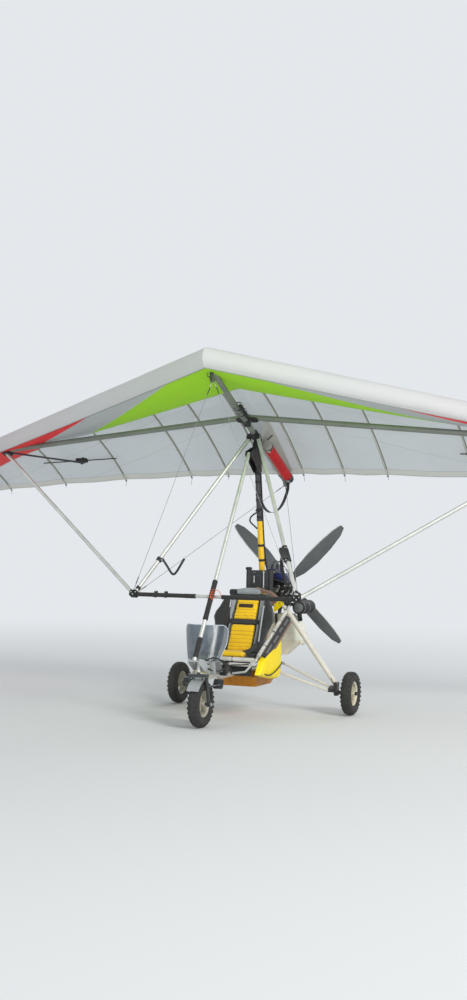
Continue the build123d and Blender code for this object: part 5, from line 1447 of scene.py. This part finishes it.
for word, x, y, face in (("front", 0, FRONT_AXLE, 1), ("left", TRACK_HALF, MAIN_AXLE, 1),
                         ("right", -TRACK_HALF, MAIN_AXLE, -1)):
    tread(f"{word}_tread", x, y, f"{word}_wheel")
    hub_fittings(f"{word}_hub_bolts", x, y, f"{word}_wheel", face)
gear, cable_ties = Shape(), Shape()
for side in (-1, 1):
    gear.rod((side * 0.932, MAIN_AXLE, WHEEL_R), (side * 0.936, MAIN_AXLE, WHEEL_R), 0.015, sides=6)
    for y, z in ((0.418, 0.285), (0.462, 0.285), (0.412, 0.21), (0.468, 0.21)):
        for way in (-1, 1):
            gear.bolt((side * (0.742 + way * 0.0155), y, z), (way, 0, 0), 0.0085)
    for y, z in ((0.3122, 0.378), (0.5072, 0.436)):
        gear.bolt((side * 0.19, y, z), (0, -1, 0))
    for x, z in ((0.104, 0.985), (0.104, 1.045), (0.16, 1.012)):
        gear.bolt((side * x, 0.4455, z), (0, -1, 0), 0.007)
    for share in (0.25, 0.5, 0.75):
        cable_ties.collar((side * (0.178 + 0.557 * share), 0.48 - 0.039 * share, 1.004 - 0.729 * share),
                          (side * 0.557, -0.039, -0.729), 0.0228, 0.0245, 0.007, soft=0.0006)
gear.piece("gear_bolts", *IN_STEEL)
dress(used("leg_paint", (224, 221, 209), (200, 196, 183), 0.42, dirt=(124, 114, 92)), "gear_legs", "drag_struts")
lines("brake_cables", *IN_RUBBER, *[(0.0035, [
    (side * 0.5, 0.448, 0.575), (side * 0.6, 0.446, 0.455), (side * 0.68, 0.43, 0.36), (side * 0.72, 0.41, 0.29),
    (side * 0.744, 0.405, 0.23)]) for side in (1, -1)])
cable_ties.piece("cable_ties", *IN_NYLON)

# Footrests wear a light bare edge and a ribbed pad; the head is bound by bolts and a grease cap.
steer, rests = Shape(), Shape()
turn = Matrix.Rotation(math.radians(-24), 3, "X")
for side in (-1, 1):
    rest = place(side * 0.14, -0.946, 0.372)
    for k in (-0.026, -0.013, 0, 0.013, 0.026):
        rests.block(rest + turn @ Vector((0, -0.0055, k)), (0.078, 0.004, 0.006), 0.001, turn)
    steer.block(rest + turn @ Vector((0, -0.001, 0.0425)), (0.09, 0.012, 0.003), 0.001, turn)
    steer.turned((side * 0.092, FRONT_AXLE, WHEEL_R), (side, 0, 0),
                 [(0, 0.016), (0.008, 0.016), (0.012, 0.011), (0.013, 0)], sides=6)
steer.turned((0, -1.0295, 0.5745), (0, 0.174, 0.985), [(0, 0.019), (0.006, 0.018), (0.01, 0.011), (0.011, 0)])
for x in (-0.06, 0.06):
    steer.bolt((x, -1.062, 0.418), (0, 0, 1), 0.008)
steer.piece("steering_bolts", *IN_STEEL, "steering")
rests.piece("footrest_ribs", *IN_RUBBER, "steering")


# Engine
# Two liquid-cooled cylinders in black with bare rocker covers, plug leads, carburettors, coolant hoses and a blue
# airbox on a cast crankcase; a black silencer hangs beside it on rubber mounts and springs.
CASTING = used("cast_alloy", (120, 124, 126), (88, 92, 94), 0.5, 0.6, grain=340, depth=0.00022)
BLACK_ENGINE = used("engine_black", (42, 44, 46), (62, 64, 64), 0.46, 0.2, grain=500, depth=0.00012,
                    dirt=(104, 100, 90))
SILENCER = used("silencer_black", (20, 21, 23), (34, 33, 33), 0.6, 0.1, grain=260, depth=0.00012,
                dirt=(84, 68, 56))
BLUE = used("blue_anodised", (26, 44, 112), (14, 24, 62), 0.42, 0.1)
dress(BLACK_ENGINE, "cylinders", "engine_mount", "radiator")
dress(CASTING, "crankcase", "gearbox")
dress(SILENCER, "muffler", "exhaust")
dress(RUBBER, "intake")
CRANK_Z = 1.094
bare, black, blue, clips, leads = Shape(), Shape(), Shape(), Shape(), []
for y in (0.64, 0.778):
    for x, off in ((-0.04, -0.04), (0.04, -0.04), (0.04, 0.04), (-0.04, 0.04)):
        bare.bolt((x, y + off, 1.319), (0, 0, 1), 0.0075, 0.005)
    black.rod((0, y, 1.342), (0.004, y + 0.004, 1.378), 0.0115, 0.009, soft=0.003)
    leads.append((0.004, [(0.004, y + 0.004, 1.37), (0.01, y + 0.008, 1.41), (0.05, y + 0.02, 1.42),
                          (0.1, y + 0.05, 1.37), (0.11, 0.86, 1.28), (0.1, 0.88, 1.2)]))
    blue.block((0, y, 1.3262), (0.092, 0.088, 0.014), 0.006)
    clips.collar((0.082, y, 1.2185), (1, 0, 0.12), 0.0215, 0.0235, 0.009)
    bare.collar((-0.093, y, 1.188), (-1, 0, -0.33), 0.0205, 0.031, 0.006)
    for z in (1.175, 1.217):
        for off in (-0.018, 0.018):
            bare.bolt((-0.0745, y + off, z), (-1, 0, 0), 0.006)
lean = Matrix.Rotation(math.radians(14), 3, "Y")
blue.block((0.135, 0.55, 1.262), (0.125, 0.11, 0.07), 0.024, lean)
black.block((0.135, 0.55, 1.222), (0.145, 0.12, 0.022), 0.006, lean)
for k in range(5):
    blue.block((0.09 + 0.022 * k, 0.55, 1.304 - 0.0055 * k), (0.007, 0.09, 0.01), 0.003, lean)
black.rod((0.075, 0.5, 1.28), (0.03, 0.53, 1.27), 0.026, 0.021, soft=0.004)
for radius, y, way, size in ((0.048, 0.5535, -1, 0.006), (0.078, 0.9785, 1, 0.007)):
    for u, v in ring(8, radius, 0.2):
        bare.bolt((u, y, CRANK_Z + v), (0, way, 0), size)
bare.turned((0, 0.5535, CRANK_Z), (0, -1, 0), [(0, 0.036), (0.006, 0.036), (0.01, 0.03), (0.01, 0.012), (0.014, 0)])
for way in (-1, 1):
    for y, z in ((0.6, 1.07), (0.6, 1.13), (0.66, 1.03), (0.76, 1.03), (0.82, 1.07), (0.82, 1.13)):
        bare.bolt((way * 0.109, y, z), (way, 0, 0), 0.0085, 0.006)
    for y in (0.6, 0.83):
        black.rod((way * 0.085, y, 1.02), (way * 0.085, y, 1.035), 0.024, soft=0.004)
        bare.bolt((way * 0.085, y, 1.0345), (0, 0, 1), 0.008)
# Carburettors, their linkage and loose hoses fill the left side under the airbox.
black.block((0.165, 0.562, 1.122), (0.135, 0.05, 0.095), 0.014)
for k in range(20):
    x, y, z = 0.1 + 0.009 * k, 0.533 + 0.012 * math.sin(5 * k), 1.125 + 0.05 * math.sin(7.3 * k)
    turn = Matrix.Rotation(k, 3, "Y") @ Matrix.Rotation(0.7 * k, 3, "X")
    kind, size = (black, (0.03, 0.028, 0.026)) if k % 2 else (bare, (0.018, 0.014, 0.024))
    kind.block((x, y, z), size, 0.004, turn)
    if k % 4 == 0:
        bare.rod((x, y, z), (x + 0.03, y - 0.01, z + 0.045), 0.006)
lines("carburettor_hoses", *IN_RUBBER, *[
    (0.006 + 0.001 * (k % 3), [(0.1 + 0.03 * k, 0.6, 1.06), (0.12 + 0.03 * k, 0.54, 1.1 + 0.01 * k),
                               (0.1 + 0.035 * k, 0.53, 1.17), (0.15 + 0.02 * k, 0.58, 1.2),
                               (0.19, 0.66, 1.2 - 0.015 * k)]) for k in range(6)])
lines("plug_leads", *IN_RUBBER, *leads)
lines("coolant_hoses", *IN_RUBBER,
      (0.0145, [(0.112, 0.42, 1.3), (0.112, 0.47, 1.31), (0.09, 0.52, 1.33), (0.05, 0.57, 1.32),
                (0.03, 0.6, 1.3)]),
      (0.0145, [(-0.112, 0.42, 1.3), (-0.112, 0.48, 1.3), (-0.11, 0.54, 1.25), (-0.1, 0.56, 1.18),
                (-0.085, 0.57, 1.12)]),
      (0.005, [(0.06, 0.56, 1.06), (0.1, 0.55, 1.12), (0.14, 0.58, 1.14), (0.15, 0.62, 1.19)]),
      (0.005, [(-0.06, 0.56, 1.05), (-0.14, 0.58, 1.04), (-0.2, 0.64, 1.0), (-0.24, 0.68, 0.99)]),
      (0.0035, [(0.02, 0.56, 1.15), (0.06, 0.54, 1.2), (0.07, 0.56, 1.27), (0.04, 0.6, 1.31)]))

# The radiator shows its fins between side pipes of bare metal, with a filler cap; the silencer has ribbed ends.
fins = Shape()
RADIATOR_Y = MAST_FOOT_Y - MAST_LEAN * (1.23 - MAST_FOOT_Z) - 0.072
for k in range(40):
    fins.block((0, RADIATOR_Y - 0.0172, 1.144 + 0.0044 * k), (0.176, 0.0018, 0.0016), 0.0003)
for k in range(9):
    fins.block((-0.08 + 0.02 * k, RADIATOR_Y - 0.0176, 1.229), (0.0024, 0.0024, 0.176), 0.0004)
fins.piece("radiator_fins", used("fin_metal", (92, 94, 94), (60, 62, 62), 0.4, 0.7),
           "engine_alloy")
for x, low, high in ((-0.045, 1.2, 1.27), (0.052, 1.16, 1.318)):
    bare.rod((x, RADIATOR_Y - 0.03, low), (x, RADIATOR_Y - 0.03, high), 0.0062)
    for z in (1.15, 1.3):
        clips.block((x, RADIATOR_Y - 0.024, z), (0.026, 0.018, 0.012), 0.002)
black.turned((-0.112, RADIATOR_Y, 1.3265), (0, 0, 1), [(0, 0.03), (0.014, 0.032), (0.02, 0.03), (0.024, 0.018),
                                                           (0.024, 0)], sides=40)
for y in (0.597, 0.742, 0.887):
    clips.collar((0.302, y, 0.968), (0, 1, 0), 0.0638, 0.0662, 0.014)
clips.turned((0.302, 0.5775, 0.968), (0, -1, 0), [(0, 0.047), (0.006, 0.047), (0.01, 0.04), (0.011, 0.016),
                                                      (0.016, 0.012), (0.017, 0)])
for y in (0.69, 0.83):
    black.rod((0.246, y, 0.966), (0.262, y, 0.97), 0.017, soft=0.003)
bare.piece("engine_bolts", STEEL, "engine_alloy")
black.piece("engine_rubber", RUBBER, "engine_alloy")
blue.piece("engine_covers", BLUE, "engine_alloy")
clips.piece("engine_clips", CASTING, "exhaust_steel")
lines("exhaust_springs", *IN_STEEL, *[
    (0.0015, [(0.246 + 0.0045 * math.cos(t * 1.05), y + 0.0045 * math.sin(t * 1.05), 0.905 + 0.0011 * t)
              for t in range(44)]) for y in (0.66, 0.86)])


# Propeller
# Four composite blades in dark grey with a pale erosion strip along the leading edge, clamped in an alloy hub
# by a ring of bolts through its two halves.
dress(used("blade_grey", (96, 100, 101), (80, 84, 86), 0.42, grain=900, dirt=(120, 120, 112), patches=(7, 0.6),
           specks=(80, 0.62, 0.74, 0.3), smears=(30, 0.15), Coat_Weight=0.2, Coat_Roughness=0.2), "propeller_blades")
dress(CASTING, "propeller_hub")
PROP = place(0, 1.07, 1.192)
prop_bolts, rims = Shape(), []
for u, v in ring(8, 0.05, math.pi / 8):
    for way in (-1, 1):
        prop_bolts.bolt(PROP + Vector((u, way * 0.0285, v)), (0, way, 0), 0.0065, 0.005)
# Rows of radius, width and pitch in degrees.
BLADE_ROWS = ((0.36, 0.138, 24), (0.46, 0.134, 20.5), (0.56, 0.128, 17), (0.645, 0.11, 15), (0.73, 0.092, 13),
              (0.79, 0.056, 12.3))
for i in range(4):
    spin = Matrix.Rotation(math.radians(45 + 90 * i), 4, "Y")
    edge = []
    for radius, chord, pitch in BLADE_ROWS:
        turn, lead = math.radians(pitch), -0.4 * chord
        edge.append(PROP + spin @ Vector((lead * math.cos(turn), lead * math.sin(turn), radius)))
    rims.append((0.0048, edge))
    prop_bolts.bolt(PROP + spin @ Vector((0, -0.0255, 0.075)), spin @ Vector((0, -1, 0)), 0.006)
prop_bolts.piece("propeller_bolts", *IN_STEEL, "propeller")
lines("blade_strips", used("erosion_strip", (206, 208, 204), (170, 172, 168), 0.4),
      "blade_grey", *rims, body="propeller", order=3)
